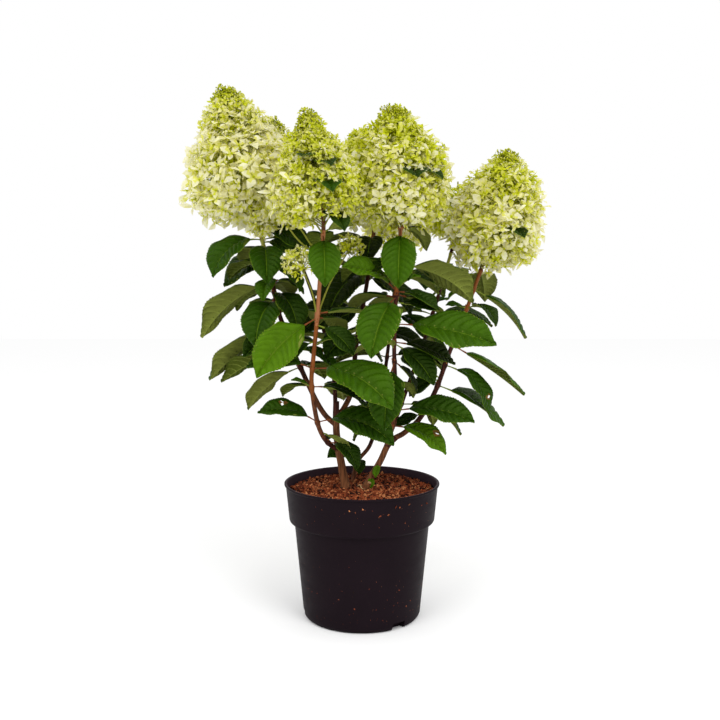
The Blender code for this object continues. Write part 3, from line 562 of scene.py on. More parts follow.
def finish(
    name, colour, roughness, specular, vary, patch=40.0, bump=0.0, grain=500.0, stretch_z=1.0,
    gloss=(1, 1, 1, 1), net=0.0, through=0.0,
):
    """A Principled material whose colour drifts a little over the surface, with a fine grain in its relief.

    The gloss is the tint of its shine, net the size of a web of raised cells in the relief, and through the
    share of light that a thin petal lets pass.
    """
    made = bpy.data.materials.new(name)
    made.use_nodes = True
    link = made.node_tree.links.new
    shader = made.node_tree.nodes["Principled BSDF"]
    shader.inputs["Roughness"].default_value = roughness
    shader.inputs["Specular IOR Level"].default_value = specular
    shader.inputs["Specular Tint"].default_value = gloss
    place = new_node(made, "TexCoord").outputs["Object"]
    scaled = new_node(made, "Mapping", place, Scale=(1, 1, stretch_z)).outputs["Vector"]
    noise = new_node(made, "TexNoise", scaled, Scale=patch, Detail=4)
    ramp = new_node(made, "ValToRGB")
    for end, position, gain in zip(ramp.color_ramp.elements, (0.3, 0.7), (1 - vary, 1 + vary)):
        end.position = position
        end.color = tuple(min(1, c * gain) for c in colour[:3]) + (1,)
    link(noise.outputs["Fac"], ramp.inputs["Fac"])
    link(ramp.outputs["Color"], shader.inputs["Base Color"])
    if bump:
        fine = new_node(made, "TexNoise", scaled, Scale=grain, Detail=3)
        relief = new_node(made, "Bump", Strength=bump, Distance=0.001)
        link(fine.outputs["Fac"], relief.inputs["Height"])
        if net:
            cells = new_node(made, "TexVoronoi", place, Scale=1 / net)
            cells.feature = "DISTANCE_TO_EDGE"
            webbed = new_node(made, "Bump", Strength=0.6, Distance=net * 0.35)
            link(cells.outputs["Distance"], webbed.inputs["Height"])
            link(webbed.outputs["Normal"], relief.inputs["Normal"])
        link(relief.outputs["Normal"], shader.inputs["Normal"])
    if through:
        lit = new_node(made, "BsdfTranslucent")
        mixed = new_node(made, "MixShader", Fac=through)
        link(ramp.outputs["Color"], lit.inputs["Color"])
        link(shader.outputs["BSDF"], mixed.inputs[1])
        link(lit.outputs["BSDF"], mixed.inputs[2])
        link(mixed.outputs["Shader"], made.node_tree.nodes["Material Output"].inputs["Surface"])
    return made


def palette(colours, *looks, **more_looks):
    """Materials of one finish in the colours of a table."""
    return [finish(name, linear(*colour), *looks, **more_looks) for name, colour in colours.items()]


def new_object(name, data):
    """An object in the scene that shows a mesh, light or camera."""
    made = bpy.data.objects.new(name, data)
    bpy.context.scene.collection.objects.link(made)
    return made


# Joined meshes


class Batch:
    """Gathers many small shapes of one kind and makes one mesh of them."""

    def __init__(self):
        self.points, self.corners, self.sizes, self.tints, self.count = [], [], [], [], 0

    def add(self, points, *face_sets):
        """Adds points, and sets of faces as (faces, tint), where the faces are rows of point numbers."""
        self.points.append(np.asarray(points, float).reshape(-1, 3))
        for faces, tint in face_sets:
            faces = np.asarray(faces, int)
            if not len(faces):
                continue
            self.corners.append((faces + self.count).ravel())
            self.sizes.append(np.full(len(faces), faces.shape[1]))
            tint = np.asarray(tint, int)
            self.tints.append(np.full(len(faces), tint) if tint.ndim == 0 else tint)
        self.count += len(self.points[-1])

    def make(self, name, materials, replaced=(), smooth=True):
        points = np.concatenate(self.points)
        corners = np.concatenate(self.corners)
        sizes = np.concatenate(self.sizes)
        starts = np.concatenate([[0], np.cumsum(sizes)[:-1]])
        mesh = bpy.data.meshes.new(name)
        mesh.vertices.add(len(points))
        mesh.vertices.foreach_set("co", points.ravel())
        mesh.loops.add(len(corners))
        mesh.loops.foreach_set("vertex_index", corners)
        mesh.polygons.add(len(sizes))
        mesh.polygons.foreach_set("loop_start", starts)
        for material in materials:
            mesh.materials.append(material)
        mesh.polygons.foreach_set("material_index", np.concatenate(self.tints))
        mesh.polygons.foreach_set("use_smooth", np.full(len(sizes), smooth))
        mesh.update(calc_edges=True)
        mesh.validate()
        made = new_object(name, mesh)
        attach(made, "root")
        if replaced:
            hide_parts(*replaced)
        return made


def grid_faces(rows, columns, closed=False):
    """Quads of a grid of points, row by row. A closed grid's last column joins its first."""
    r, c = np.meshgrid(np.arange(rows - 1), np.arange(columns if closed else columns - 1), indexing="ij")
    a = r * columns + c
    b = r * columns + (c + 1) % columns
    return np.stack([a, b, b + columns, a + columns], axis=-1).reshape(-1, 4)


def fan_faces(start, sides, hub, turned=False):
    """Triangles between a ring of points and one in its middle. They face the other way when turned."""
    here = start + np.arange(sides)
    after = start + (np.arange(sides) + 1) % sides
    if turned:
        here, after = after, here
    return np.stack([here, after, np.full(sides, hub)], axis=1)


# Stems


def rings_along(line, step):
    """Centres, two unit vectors across and the distance at even steps along a line."""
    run = distances(line)
    count = max(2, round(run[-1] / step) + 1)
    across = Vector((1, 0, 0))
    centres, acrosses, asides, places = [], [], [], []
    for k in range(count):
        place = run[-1] * k / (count - 1)
        centre = point_at(line, run, place)[0]
        behind = point_at(line, run, max(0.0, place - 2 * step))[0]
        beyond = point_at(line, run, min(run[-1], place + 2 * step))[0]
        ahead = (beyond - behind).normalized()
        across = (across - ahead * across.dot(ahead)).normalized()
        centres.append(centre)
        acrosses.append(across)
        asides.append(ahead.cross(across))
        places.append(place)
    return np.array(centres), np.array(acrosses), np.array(asides), np.array(places)


def add_tube(batch, line, radii, sides, step, tint=0, relief=None):
    """A round limb with closed ends.

    The radii are those of its two ends or a function of distances. The tint is a number or a function of
    distances. The relief is a function of distances and angles.
    """
    centres, across, aside, places = rings_along(line, step)
    angles = 2 * math.pi * np.arange(sides) / sides
    along = np.linspace(*radii, len(places)) if isinstance(radii, tuple) else np.array(radii(places))
    radii = np.repeat(along[:, None], sides, axis=1)
    if relief:
        radii = radii * (1 + relief(places[:, None], angles[None, :]))
    ring = across[:, None] * np.cos(angles)[None, :, None] + aside[:, None] * np.sin(angles)[None, :, None]
    points = (centres[:, None, :] + ring * radii[:, :, None]).reshape(-1, 3)
    tints = tint(np.repeat(places[:-1], sides)) if callable(tint) else tint
    count = len(points)
    caps = np.concatenate([fan_faces(0, sides, count, True), fan_faces(count - sides, sides, count + 1)])
    cap_tint = tints if np.ndim(tints) == 0 else tints[-1]
    points = np.concatenate([points, centres[:1], centres[-1:]])
    batch.add(points, (grid_faces(len(places), sides, closed=True), tints), (caps, cap_tint))


def swelling(nodes_at, width, height):
    """Relief that swells round each node of leaves along a shoot."""
    nodes_at = np.array(nodes_at)

    def relief(places, angles):
        gaps = (places[..., None] - nodes_at) / width
        return height * np.exp(-gaps ** 2).sum(axis=-1) + 0 * angles
    return relief


def bark_relief(seed, depth):
    """Long shallow furrows that wander a little round the stem."""
    dice = np.random.default_rng(seed)
    waves = [(n, dice.uniform(0, 6.28), dice.uniform(-18, 18), dice.uniform(0.5, 1)) for n in (3, 5, 8, 11)]

    def relief(places, angles):
        total = 0
        for turns, start, drift, size in waves:
            wander = drift * places + 1.3 * np.sin(60 * places + start)
            total = total + size * np.sin(turns * angles + start + wander)
        knots = np.sin(210 * places + 2.0 * np.sin(angles + seed))
        return depth * (total + 0.5 * knots)
    return relief


BARK_COLOURS = {"bark_grey": (112, 70, 42), "bark_brown": (98, 58, 36), "bark_purple": (64, 31, 22)}
SHOOT_COLOURS = {
    "shoot_orange": (128, 70, 26), "shoot_pink": (152, 98, 62), "shoot_green": (150, 150, 66),
    "wood_pale": (178, 142, 100),
}
BARK_TINTS = [*BARK_COLOURS, *SHOOT_COLOURS]
GREY_BARK, DARK_BARK, BUD_ORANGE, PALE_WOOD = 0, 2, 3, 6
TRUNK_DARK_FROM = 0.80
TRUNK_SUNK = 0.006
TRUNK_SIDES = 36
SHOOT_SIDES = 18


def bark_materials():
    rough = palette(BARK_COLOURS, 0.75, 0.15, vary=0.62, patch=420, bump=0.7, grain=900, stretch_z=0.10)
    smooth = palette(SHOOT_COLOURS, 0.5, 0.15, vary=0.22, patch=160, bump=0.15, grain=900, stretch_z=0.10)
    return rough + smooth


# Tints up each shoot: the share of its length where each tint begins
USUAL_SHOOT_TINTS = ((0.0, "bark_brown"), (0.2, "bark_purple"), (0.85, "shoot_green"))
SHOOT_TINTS = {
    "left_inner": ((0.0, "bark_purple"), (0.10, "bark_brown"), (0.30, "shoot_orange"), (0.62, "shoot_pink")),
    "left_outer": ((0.0, "bark_brown"), (0.25, "bark_purple"), (0.80, "shoot_green")),
    "right_inner": (
        (0.0, "bark_brown"), (0.20, "bark_purple"), (0.72, "shoot_orange"), (0.90, "shoot_pink"),
    ),
    "right_outer": ((0.0, "bark_brown"), (0.15, "bark_purple"), (0.66, "shoot_orange")),
    "centre": ((0.0, "bark_grey"), (0.2, "bark_purple"), (0.85, "shoot_pink")),
    "rear_middle": ((0.0, "bark_brown"), (0.15, "bark_purple"), (0.85, "shoot_green")),
}


def build_stems(planned):
    batch = Batch()
    radii = lambda places: [limb_radius(spec, place / run[-1]) for place in places]
    for k, (name, spec) in enumerate(TRUNKS.items()):
        line, _ = limb_line(name)
        line[0] = line[0] - Vector((0, 0, TRUNK_SUNK))
        run = distances(line)
        tints = lambda places: np.where(places > TRUNK_DARK_FROM * run[-1], DARK_BARK, GREY_BARK)
        add_tube(batch, line, radii, TRUNK_SIDES, 0.0020, tints, bark_relief(SEED + k, 0.022))
        if name == "trunk_left":
            add_stub_top(batch, line[-1], spec["radii"][1])
    for k, (name, spec) in enumerate(SHOOTS.items()):
        line, run = limb_line(name)
        heights = sorted({round(root.z, 4) for root, _, _ in planned[name]})
        nodes_at = [distance_at_height(line, run, h) for h in heights] + [run[-1]]
        furrows = bark_relief(40 + k, 0.012)
        rings = swelling(nodes_at, 0.0035, 0.28)
        dice = np.random.default_rng(70 + k)

        def tint_at(places):
            shares = places / run[-1] + dice.uniform(-0.03, 0.03, len(places))
            found = np.zeros(len(places), int)
            for share, tint in SHOOT_TINTS.get(name, USUAL_SHOOT_TINTS):
                found[shares >= share] = BARK_TINTS.index(tint)
            return found

        relief = lambda places, angles: furrows(places, angles) + rings(places, angles)
        add_tube(batch, line, radii, SHOOT_SIDES, 0.0022, tint_at, relief)
        add_buds(batch, line, run, nodes_at, spec, dice)
    add_ground_stub(batch)
    batch.make("stems", bark_materials(), list(TRUNKS) + [f"bough_{name}" for name in SHOOTS])


def add_stub_top(batch, tip, radius):
    """The splintered end of the left trunk, where an old stem was cut."""
    dice = random.Random(SEED)
    splinters = 14
    for k in range(splinters):
        angle = 2 * math.pi * k / splinters
        reach = radius * dice.uniform(0.35, 0.85)
        foot = tip + Vector((math.cos(angle) * reach, math.sin(angle) * reach, -0.002))
        lean = (dice.uniform(-1, 1) * 0.0008, dice.uniform(-1, 1) * 0.0008, dice.uniform(0.003, 0.007))
        top = foot + Vector(lean)
        add_tube(batch, [foot, foot.lerp(top, 0.5), top], (0.0011, 0.0004), 6, 0.002, DARK_BARK)


DRY_CURL = ((-0.0075, -0.006, 0.193), (-0.003, -0.013, 0.1975), (0, -0.019, 0.194), (0.004, -0.022, 0.1935))


def add_ground_stub(batch):
    """A short pruned stub that leans out of the mix beside the right trunk, and a curl of dry fibre."""
    foot = Vector((0.0035, -0.014, SOIL_HEIGHT - 0.004))
    tip = foot + Vector((0.0075, -0.004, 0.016))
    stub = [foot, foot.lerp(tip, 0.5), tip]
    add_tube(batch, stub, (0.0034, 0.0034), 20, 0.0015, GREY_BARK, bark_relief(9, 0.03))
    add_tube(batch, [tip, tip + (tip - foot) * 0.05], (0.0026, 0.0026), 14, 0.001, PALE_WOOD)
    radii = lambda places: 0.0010 * np.sin(np.linspace(0.4, 2.9, len(places)))
    add_tube(batch, smooth_line(DRY_CURL), radii, 8, 0.001, PALE_WOOD)


def add_buds(batch, line, run, nodes_at, spec, dice):
    """Small pointed buds in the leaf axils."""
    for place in nodes_at[:-1]:
        centre, ahead = point_at(line, run, place)
        radius = limb_radius(spec, place / run[-1])
        for _ in range(2):
            turn = dice.uniform(0, 6.28)
            across = ahead.orthogonal().normalized()
            out = across * math.cos(turn) + ahead.cross(across) * math.sin(turn)
            foot = centre + out * radius * 0.7 + ahead * 0.002
            tip = foot + out * 0.0022 + ahead * 0.0036
            radii = lambda places: 0.0013 * np.sin(np.linspace(0.9, 3.1, len(places)))
            add_tube(batch, [foot, foot.lerp(tip, 0.5), tip], radii, 8, 0.0008, BUD_ORANGE)


# Leaves

# The three tables follow each other in a leaf's materials, and the tints below are places in that list
# The top side's greens run from a leaf in full light to one in deep shade: light and shade among the foliage
# are painted into them. The two lightest also give young leaves their paler green.
LEAF_COLOURS = {
    "leaf_young_and_painted_lit": (66, 100, 4), "leaf_young_and_painted_half_lit": (47, 79, 3), "leaf_painted_half_shade": (31, 60, 2),
    "leaf_painted_shade": (21, 43, 2), "leaf_painted_deep_shade": (13, 27, 1),
}
UNDER_COLOURS = {"under_pale": (112, 120, 52), "under_olive": (80, 92, 30)}
VEIN_COLOURS = {
    "leaf_vein": (82, 108, 22), "leaf_rib": (124, 134, 58), "stalk_red": (122, 66, 40),
    "stalk_green": (120, 134, 48), "leaf_dead": (104, 74, 34),
}
LEAF_UNDER, LEAF_VEIN, LEAF_RIB, LEAF_STALK_RED, LEAF_STALK_GREEN, LEAF_DEAD = 5, 7, 8, 9, 10, 11
VEIN_PAIRS = 8
VEIN_ARCH = 0.34
ROWS_BETWEEN_VEINS = 3
COLUMNS = (0.0, 0.026, 0.11, 0.27, 0.44, 0.62, 0.81, 0.965, 1.0)
LEAF_THIN = 0.00045
LEAF_PUFF = 0.0255
TOOTH = 0.034
RIB_DEPTH = 0.0009
RIB_SUNK = 0.0006
VEIN_DEPTH = 0.0003
LEAF_STATIONS = 41
NO_HOLE = (0, 0, 0)
STALK_SIDES = 10

# Painted light and shade of leaves that stand out, by shoot, height and place in the pair. The rest go by
# their shoot.
LEAF_PAINTED_LIGHT_AND_SHADE = {
    "left_inner": {
        (0.559, 1): 1, (0.446, 1): 0, (0.373, 1): 1, (0.346, 1): 3, (0.292, 1): 2, (0.292, 2): 2,
        (0.452, 1): 3, (0.260, 1): 3,
    },
    "left_outer": {
        (0.556, 1): 2, (0.556, 2): 4, (0.544, 1): 2, (0.522, 1): 2, (0.492, 1): 1, (0.480, 1): 3,
        (0.466, 1): 2, (0.416, 1): 3, (0.396, 2): 2,
    },
    "right_inner": {
        (0.571, 1): 1, (0.474, 1): 1, (0.482, 1): 0, (0.436, 1): 1, (0.478, 1): 3, (0.506, 1): 4,
        (0.382, 1): 2, (0.382, 2): 4, (0.410, 1): 4, (0.308, 1): 2, (0.284, 1): 0,
    },
    "right_outer": {(0.372, 1): 2, (0.456, 1): 3},
    "centre": {(0.560, 1): 4, (0.508, 1): 4, (0.508, 2): 4, (0.455, 1): 4, (0.416, 1): 4},
}
# The rest, in painted half shade and shade: lighter on the outer right shoot, darker on the centre deep
# inside.
USUAL_TINTS = (2, 3)
SHOOT_LEAF_TINTS = {"right_outer": (1, 2), "centre": (3, 4)}

# Leaves with a hole, by shoot, height and side: the hole's place along and across the blade, and its size
HOLES = {
    ("left_inner", 0.292, 1): (0.52, -0.45, 0.05),
    ("right_inner", 0.284, 1): (0.60, 0.55, 0.05),
    ("right_outer", 0.372, 1): (0.72, 0.3, 0.04),
    ("left_outer", 0.396, 2): (0.5, 0.4, 0.045),
}


def leaf_materials():
    gloss = (0.70, 1.0, 0.25, 1)
    top = dict(vary=0.16, patch=55, bump=0.22, grain=650, gloss=gloss, net=0.0042)
    under = dict(vary=0.12, patch=80, bump=0.4, grain=800, gloss=gloss, net=0.0036)
    veins = dict(vary=0.12, patch=80, bump=0.1, grain=800, gloss=gloss)
    made = palette(LEAF_COLOURS, 0.45, 0.20, **top) + palette(UNDER_COLOURS, 0.7, 0.12, **under)
    return made + palette(VEIN_COLOURS, 0.55, 0.12, **veins)


def leaf_outline(share):
    """The half width of a real blade: fuller past its middle than the solid's, and drawn out to a point."""
    if share <= 0 or share >= 1:
        return 0.0
    body = math.sin(math.pi * share ** 0.84) ** 0.64
    drawn = 1 - 0.55 * max(0.0, (share - 0.74) / 0.26) ** 1.3
    return body * drawn


def blade_rows():
    """Shares along the blade of its rows, two close together at each side vein, and which start a vein."""
    edges = [0.04 + 0.88 * (k / VEIN_PAIRS) ** 0.94 for k in range(VEIN_PAIRS + 1)]
    rows, vein = [0.0], [False]
    half = 0.0042
    for a, b in zip(edges, edges[1:]):
        inside = np.linspace(a + half, b - half, ROWS_BETWEEN_VEINS + 1)
        rows += [float(r) for r in inside]
        vein += [False] * ROWS_BETWEEN_VEINS + [True]
    tail = np.linspace(edges[-1] + half, 1.0, 5)
    rows += [float(r) for r in tail]
    vein += [False] * len(tail)
    return np.array(rows), np.array(vein)


ROWS, ROW_IS_VEIN = blade_rows()


def quilting():
    """How far up the blade puffs between its side veins, from 0 at a vein to 1 between two."""
    puff = np.zeros(len(ROWS))
    bounds = [0, *np.flatnonzero(ROW_IS_VEIN), len(ROWS) - 1]
    for a, b in zip(bounds, bounds[1:]):
        start = a + 1 if a else 0
        for k in range(start, b + 1):
            t = (ROWS[k] - ROWS[start]) / max(ROWS[b] - ROWS[start], 1e-6)
            puff[k] = math.sin(math.pi * t) ** 0.8 if 0 < t < 1 else 0.0
    return puff[:, None]


def blade_grid():
    """Where the points of a blade's grid lie across it, from -1 to 1, and along it, from 0 to 1."""
    side = np.array(COLUMNS)
    across = np.broadcast_to(np.concatenate([-side[:0:-1], side]), (len(ROWS), 2 * len(side) - 1))
    rows = ROWS[:, None]
    arch = VEIN_ARCH * np.clip(rows / 0.08, 0, 1) * (1 - rows) ** 0.8
    return across, rows + arch * np.abs(across) ** 1.5


# What every blade has alike, at each point of its grid, and then at the middle of each face
PUFF = quilting()
ACROSS, ALONG = blade_grid()
OUT = np.abs(ACROSS)
EDGE = OUT > 0.99
WIDTHS = np.interp(ALONG, np.linspace(0, 1, 101), [leaf_outline(k / 100) for k in range(101)])
TEETH = np.where(EDGE, 1 + TOOTH * np.where(np.arange(len(ROWS))[:, None] % 2, 1, -1), 1.0)
CAMBER = OUT * math.tan(math.radians(BLADE_FOLD)) + 0.06 * np.sin(math.pi * OUT) - 0.05 * OUT ** 3
RIB = np.exp(-(ACROSS / 0.05) ** 2)
FADE = np.clip((OUT - 0.03) / 0.12, 0, 1) * (1 - OUT ** 6)
NEAR_VEIN = 1 - np.minimum(PUFF, 0.4) / 0.4
THICKNESS = LEAF_THIN + RIB * RIB_DEPTH * (1 - 0.6 * ALONG) + NEAR_VEIN * VEIN_DEPTH * FADE
BLADE_FACES = grid_faces(*ACROSS.shape)
FACE_ALONG, FACE_ACROSS = ((grid[:-1, :-1] + grid[1:, 1:]) / 2 for grid in (ALONG, ACROSS))
FACE_ON_RIB = np.abs(FACE_ACROSS) < 0.03
FACE_ON_HEM = np.abs(FACE_ACROSS) > 0.965
FACE_ON_VEIN = ROW_IS_VEIN[:-1, None] & (np.abs(FACE_ACROSS) < 0.8)


def add_leaf(batch, root, leaf, dice, tint, under=LEAF_UNDER, red_stalk=False, hole=NO_HOLE):
    """A stalk, and a closed thin blade with an impressed midrib, arched side veins and a toothed edge."""
    length = leaf[1]
    grid = np.linspace(0, 1, LEAF_STATIONS)
    table = np.array(leaf_frames(root, leaf, grid)).reshape(LEAF_STATIONS, 12)

    def at(shares):
        """Centre and the vectors sideways and upwards at shares of the leaf's length."""
        found = np.stack([np.interp(np.clip(shares, 0, 1), grid, column) for column in table.T], axis=-1)
        return found[..., 0:3], found[..., 6:9], found[..., 9:12]

    half = BLADE_WIDTH * length * WIDTHS * TEETH
    long_wave = np.sin(ALONG * dice.uniform(9, 15) + dice.uniform(0, 6.28))
    short_wave = np.sin(ALONG * dice.uniform(14, 22) + np.sign(ACROSS) * dice.uniform(1, 5))
    ripple = 0.014 * length * long_wave * OUT ** 3 + 0.010 * length * short_wave * ACROSS ** 4
    lift = half * CAMBER + ripple * (half > 0) + PUFF * FADE * length * LEAF_PUFF - RIB * RIB_SUNK
    centre, aside, up = at(STALK_SHARE + (1 - STALK_SHARE) * ALONG)
    top = centre + aside * (ACROSS * half)[..., None] + up * lift[..., None]
    low = top - up * np.where(EDGE | (half < 1e-6), 0.0, THICKNESS)[..., None]
    place, over, size = hole
    away = np.hypot(FACE_ALONG - place, (FACE_ACROSS - over) * 0.3)
    kept, dead = away > size * 0.75, away < size * 1.35
    above = np.select([dead, FACE_ON_RIB | FACE_ON_HEM], [LEAF_DEAD, LEAF_VEIN], tint)
    below = np.select([dead, FACE_ON_RIB | FACE_ON_VEIN], [LEAF_DEAD, LEAF_RIB], under)
    faces = BLADE_FACES[kept.ravel()]
    points = np.concatenate([top.reshape(-1, 3), low.reshape(-1, 3)])
    batch.add(points, (faces, above[kept]), (faces[:, ::-1] + ACROSS.size, below[kept]))
    line = [Vector(p) for p in at(np.linspace(0, STALK_SHARE * 1.04, 9))[0]]
    radii = lambda p: STALK_RADIUS * (1.25 - 0.45 * np.sin(np.pi * np.clip(p / p[-1], 0, 1) ** 0.7))
    add_tube(batch, line, radii, STALK_SIDES, 0.0025, LEAF_STALK_RED if red_stalk else LEAF_STALK_GREEN)


# Small leaves that have no solid, by shoot or trunk: height, the leaf, and its tint
YOUNG_LEAVES = {
    "right_inner": [
        (0.486, (196, 0.036, 62, 20, -20), 0), (0.486, (352, 0.040, 50, 0, 20), 0),
        (0.400, (240, 0.030, 50, 10, 0), 0), (0.522, (190, 0.050, 0, -40, -40), 3),
        (0.466, (350, 0.064, 0, -20, 30), 3), (0.408, (335, 0.085, -25, -65, 40), 3),
    ],
    "right_outer": [
        (0.352, (190, 0.042, 35, 20, -30), 1), (0.388, (150, 0.038, 50, 30, 0), 1),
        (0.420, (215, 0.040, 40, 0, -20), 1), (0.350, (190, 0.055, 0, -60, -50), 3),
        (0.300, (190, 0.046, -10, -40, -40), 3),
    ],
    "left_inner": [
        (0.405, (330, 0.034, 40, 0, 20), 1), (0.345, (200, 0.034, 40, 0, -20), 1),
        (0.436, (345, 0.070, -15, -65, 45), 3), (0.412, (195, 0.048, -10, -70, -40), 3),
        (0.562, (20, 0.046, 35, -10, -50), 3), (0.277, (0, 0.060, -20, -62, -34), 0),
    ],
    "left_outer": [
        (0.460, (300, 0.040, 30, -30, 10), 1), (0.536, (340, 0.060, 20, -30, 20), 1),
        (0.568, (350, 0.080, 5, -50, 55), 3), (0.552, (332, 0.060, 10, -60, 40), 3),
        (0.518, (350, 0.042, 0, -50, 40), 3),
    ],
    "centre": [
        (0.548, (196, 0.078, 10, -50, 40), 3), (0.520, (250, 0.050, 30, -20, 10), 2),
        (0.506, (200, 0.060, -5, -55, -50), 3), (0.502, (345, 0.042, -10, -60, 50), 3),
        (0.462, (205, 0.052, -20, -75, -40), 3),
    ],
    "rear_left": [(0.470, (70, 0.045, 30, -20, 10), 1)],
    "rear_middle": [(0.430, (100, 0.045, 30, -20, 10), 1)],
    "rear_right": [(0.460, (60, 0.045, 30, -20, 10), 1)],
    "trunk_right": [(0.228, (246, 0.0255, -30, -86, 10), 0), (0.209, (262, 0.0210, -40, -88, -20), 0)],
}
# The trunk whose young leaves are built with a shoot
YOUNG_TRUNKS = {"right_inner": "trunk_right"}
# Small leaves among the florets, with no solid either: share of the head's axis, the leaf, and its tint
HEAD_LEAVES = {
    "left_inner": [
        (0.34, (286, 0.080, 24, -45, 0), 2), (0.12, (300, 0.068, 10, -60, 0), 3),
        (0.52, (258, 0.062, 30, -20, 0), 3), (0.50, (292, 0.068, 24, -30, 10), 3),
    ],
    "right_inner": [(0.42, (284, 0.084, 20, -40, 0), 3), (0.42, (312, 0.084, 20, -40, 0), 3)],
    "right_outer": [(0.28, (292, 0.088, 20, -30, 0), 3)],
}
LEAF_PIECES = {
    "leaves_left": ("left_outer", "left_inner"), "leaves_right": ("right_inner", "right_outer"),
    "leaves_middle": ("centre", "rear_left"), "leaves_rear": ("rear_middle", "rear_right"),
}


def build_leaves(planned):
    materials = leaf_materials()
    for piece, names in LEAF_PIECES.items():
        batch = Batch()
        for name in names:
            dice = random.Random(f"leaves {name} {SEED}")
            known, usual = LEAF_PAINTED_LIGHT_AND_SHADE.get(name, {}), SHOOT_LEAF_TINTS.get(name, USUAL_TINTS)
            for root, leaf, key in planned[name]:
                tint = known.get(key[1:], dice.choice(usual))
                under = LEAF_UNDER + (dice.random() < 0.4)
                red = name in ("left_inner", "right_inner") or dice.random() < 0.3
                add_leaf(batch, root, leaf, dice, tint, under, red, HOLES.get(key, NO_HOLE))
            for limb in (name, YOUNG_TRUNKS.get(name)):
                for height, leaf, tint in YOUNG_LEAVES.get(limb, ()):
                    add_leaf(batch, at_height(limb, height)[0], leaf, dice, tint)
            for share, leaf, tint in HEAD_LEAVES.get(name, ()):
                add_leaf(batch, at_share(head_line(name), share), leaf, dice, tint)
        batch.make(piece, materials, [f"foliage_{name}" for name in names])


# Blossom

# Six tints from green buds to ripe petals, then those of the stalks
# The greener tints also paint the yellow-green shade deep among the florets.
PETAL_COLOURS = {
    "bud_green": (192, 199, 18), "petal_green": (210, 216, 34), "petal_lime": (222, 226, 64),
    "petal_pale": (233, 232, 122), "petal_cream": (240, 236, 174), "petal_white": (248, 245, 214),
    "branchlet": (176, 178, 78), "stalk_tan": (150, 104, 70), "stalk_maroon": (74, 38, 32),
}
RIPEST, BRANCHLET, STALK_TAN, STALK_MAROON = 5, 6, 7, 8
SEPAL_ROWS = ((0.28, 0.24), (0.58, 0.38), (0.84, 0.20))
INNER_SEPAL_ROWS = ((0.60, 0.38),)


def sepal_template(rows):
    """Points of a flat sepal as shares along and across it, and its faces: triangles at its foot and tip."""
    points = [(0.0, 0.0)]
    for along, half in rows:
        points += [(along - 0.10 * half, -half), (along, 0.0), (along - 0.10 * half, half)]
    points.append((1.0, 0.0))
    last = len(points) - 1
    triangles = [(0, 1, 2), (0, 2, 3), (last - 3, last, last - 2), (last - 2, last, last - 1)]
    quads = []
    for k in range(len(rows) - 1):
        a = 1 + 3 * k
        quads += [(a, a + 3, a + 4, a + 1), (a + 1, a + 4, a + 5, a + 2)]
    return np.array(points), np.array(triangles), np.array(quads)


SEPAL, INNER_SEPAL = sepal_template(SEPAL_ROWS), sepal_template(INNER_SEPAL_ROWS)

# How each head is dressed: radius of its florets below and at the apex, radius of its clusters likewise, how
# ripe the florets are below and above (0 for green buds, 1 for white), the share of the axis where that
# turns, half the length of the turn, how many florets are showy, and the shares where they begin and end
Look = namedtuple("Look", "sizes clusters ripe turn spread showy foot top")
HEAD_LOOKS = {
    "left_outer": Look((0.0128, 0.0062), (0.021, 0.0100), (0.96, 0.50), 0.80, 0.20, 0.30, 0.03, 0.97),
    "left_inner": Look((0.0088, 0.0056), (0.016, 0.0095), (0.72, 0.56), 0.62, 0.40, 0.07, 0.17, 0.94),
    "centre": Look((0.0095, 0.0060), (0.017, 0.0095), (0.64, 0.34), 0.70, 0.30, 0.12, 0.20, 0.89),
    "right_inner": Look((0.0102, 0.0062), (0.019, 0.0100), (0.76, 0.36), 0.60, 0.38, 0.28, 0.10, 0.945),
    "right_outer": Look((0.0110, 0.0064), (0.020, 0.0100), (0.84, 0.44), 0.70, 0.34, 0.30, 0.04, 0.93),
    "rear_left": Look((0.0115, 0.0050), (0.020, 0.0100), (0.92, 0.55), 0.86, 0.16, 0.25, 0.24, 0.93),
    "rear_middle": Look((0.0100, 0.0046), (0.018, 0.0085), (0.74, 0.24), 0.62, 0.30, 0.15, 0.20, 0.96),
    "rear_right": Look((0.0095, 0.0046), (0.016, 0.0085), (0.66, 0.28), 0.62, 0.35, 0.12, 0.32, 0.76),
}
CLUSTER_SPACING = 2.1
FLORET_CROWDING = 1.9
INNER_CROWDING = 3.2
INNER_DEPTH = 0.66
BUD_SHARE = 0.84

# The outline of the heads that the photo shows against the sky: how far they reach to the left and to the
# right, as shares of the solid's radius, at even steps from foot to apex
HEAD_SIDES = {
    "left_outer": (
        (0.2, 0.2, 0.62, 1.02, 1.0, 0.92, 0.86, 0.84, 0.92, 0.84, 0.9),
        (0.9, 0.95, 1.0, 1.0, 1.0, 1.0, 1.0, 1.08, 1.12, 0.95, 1.0),
    ),
    "left_inner": (
        (0.9, 1.1, 1.15, 1.15, 1.1, 1.05, 0.98, 0.92, 0.80, 0.66, 0.6),
        (0.6, 0.75, 0.95, 1.0, 1.0, 1.0, 0.95, 0.90, 0.80, 1.05, 0.8),
    ),
    "right_inner": (
        (0.7, 0.9, 1.0, 1.0, 1.0, 1.0, 1.0, 1.08, 1.12, 0.85, 0.6),
        (0.5, 0.75, 0.88, 0.86, 0.88, 0.98, 0.98, 0.86, 0.72, 0.80, 0.7),
    ),
    "right_outer": (
        (0.4, 0.7, 0.9, 1.0, 1.0, 1.0, 1.0, 1.08, 1.08, 0.98, 0.8),
        (0.4, 0.50, 0.72, 1.06, 0.80, 0.76, 0.90, 1.02, 0.94, 0.66, 0.6),
    ),
}
LEAST_GAIN = 0.56
MOST_GAIN = 1.20
HEAD_STEPS = 60
HEAD_LOBES = 34


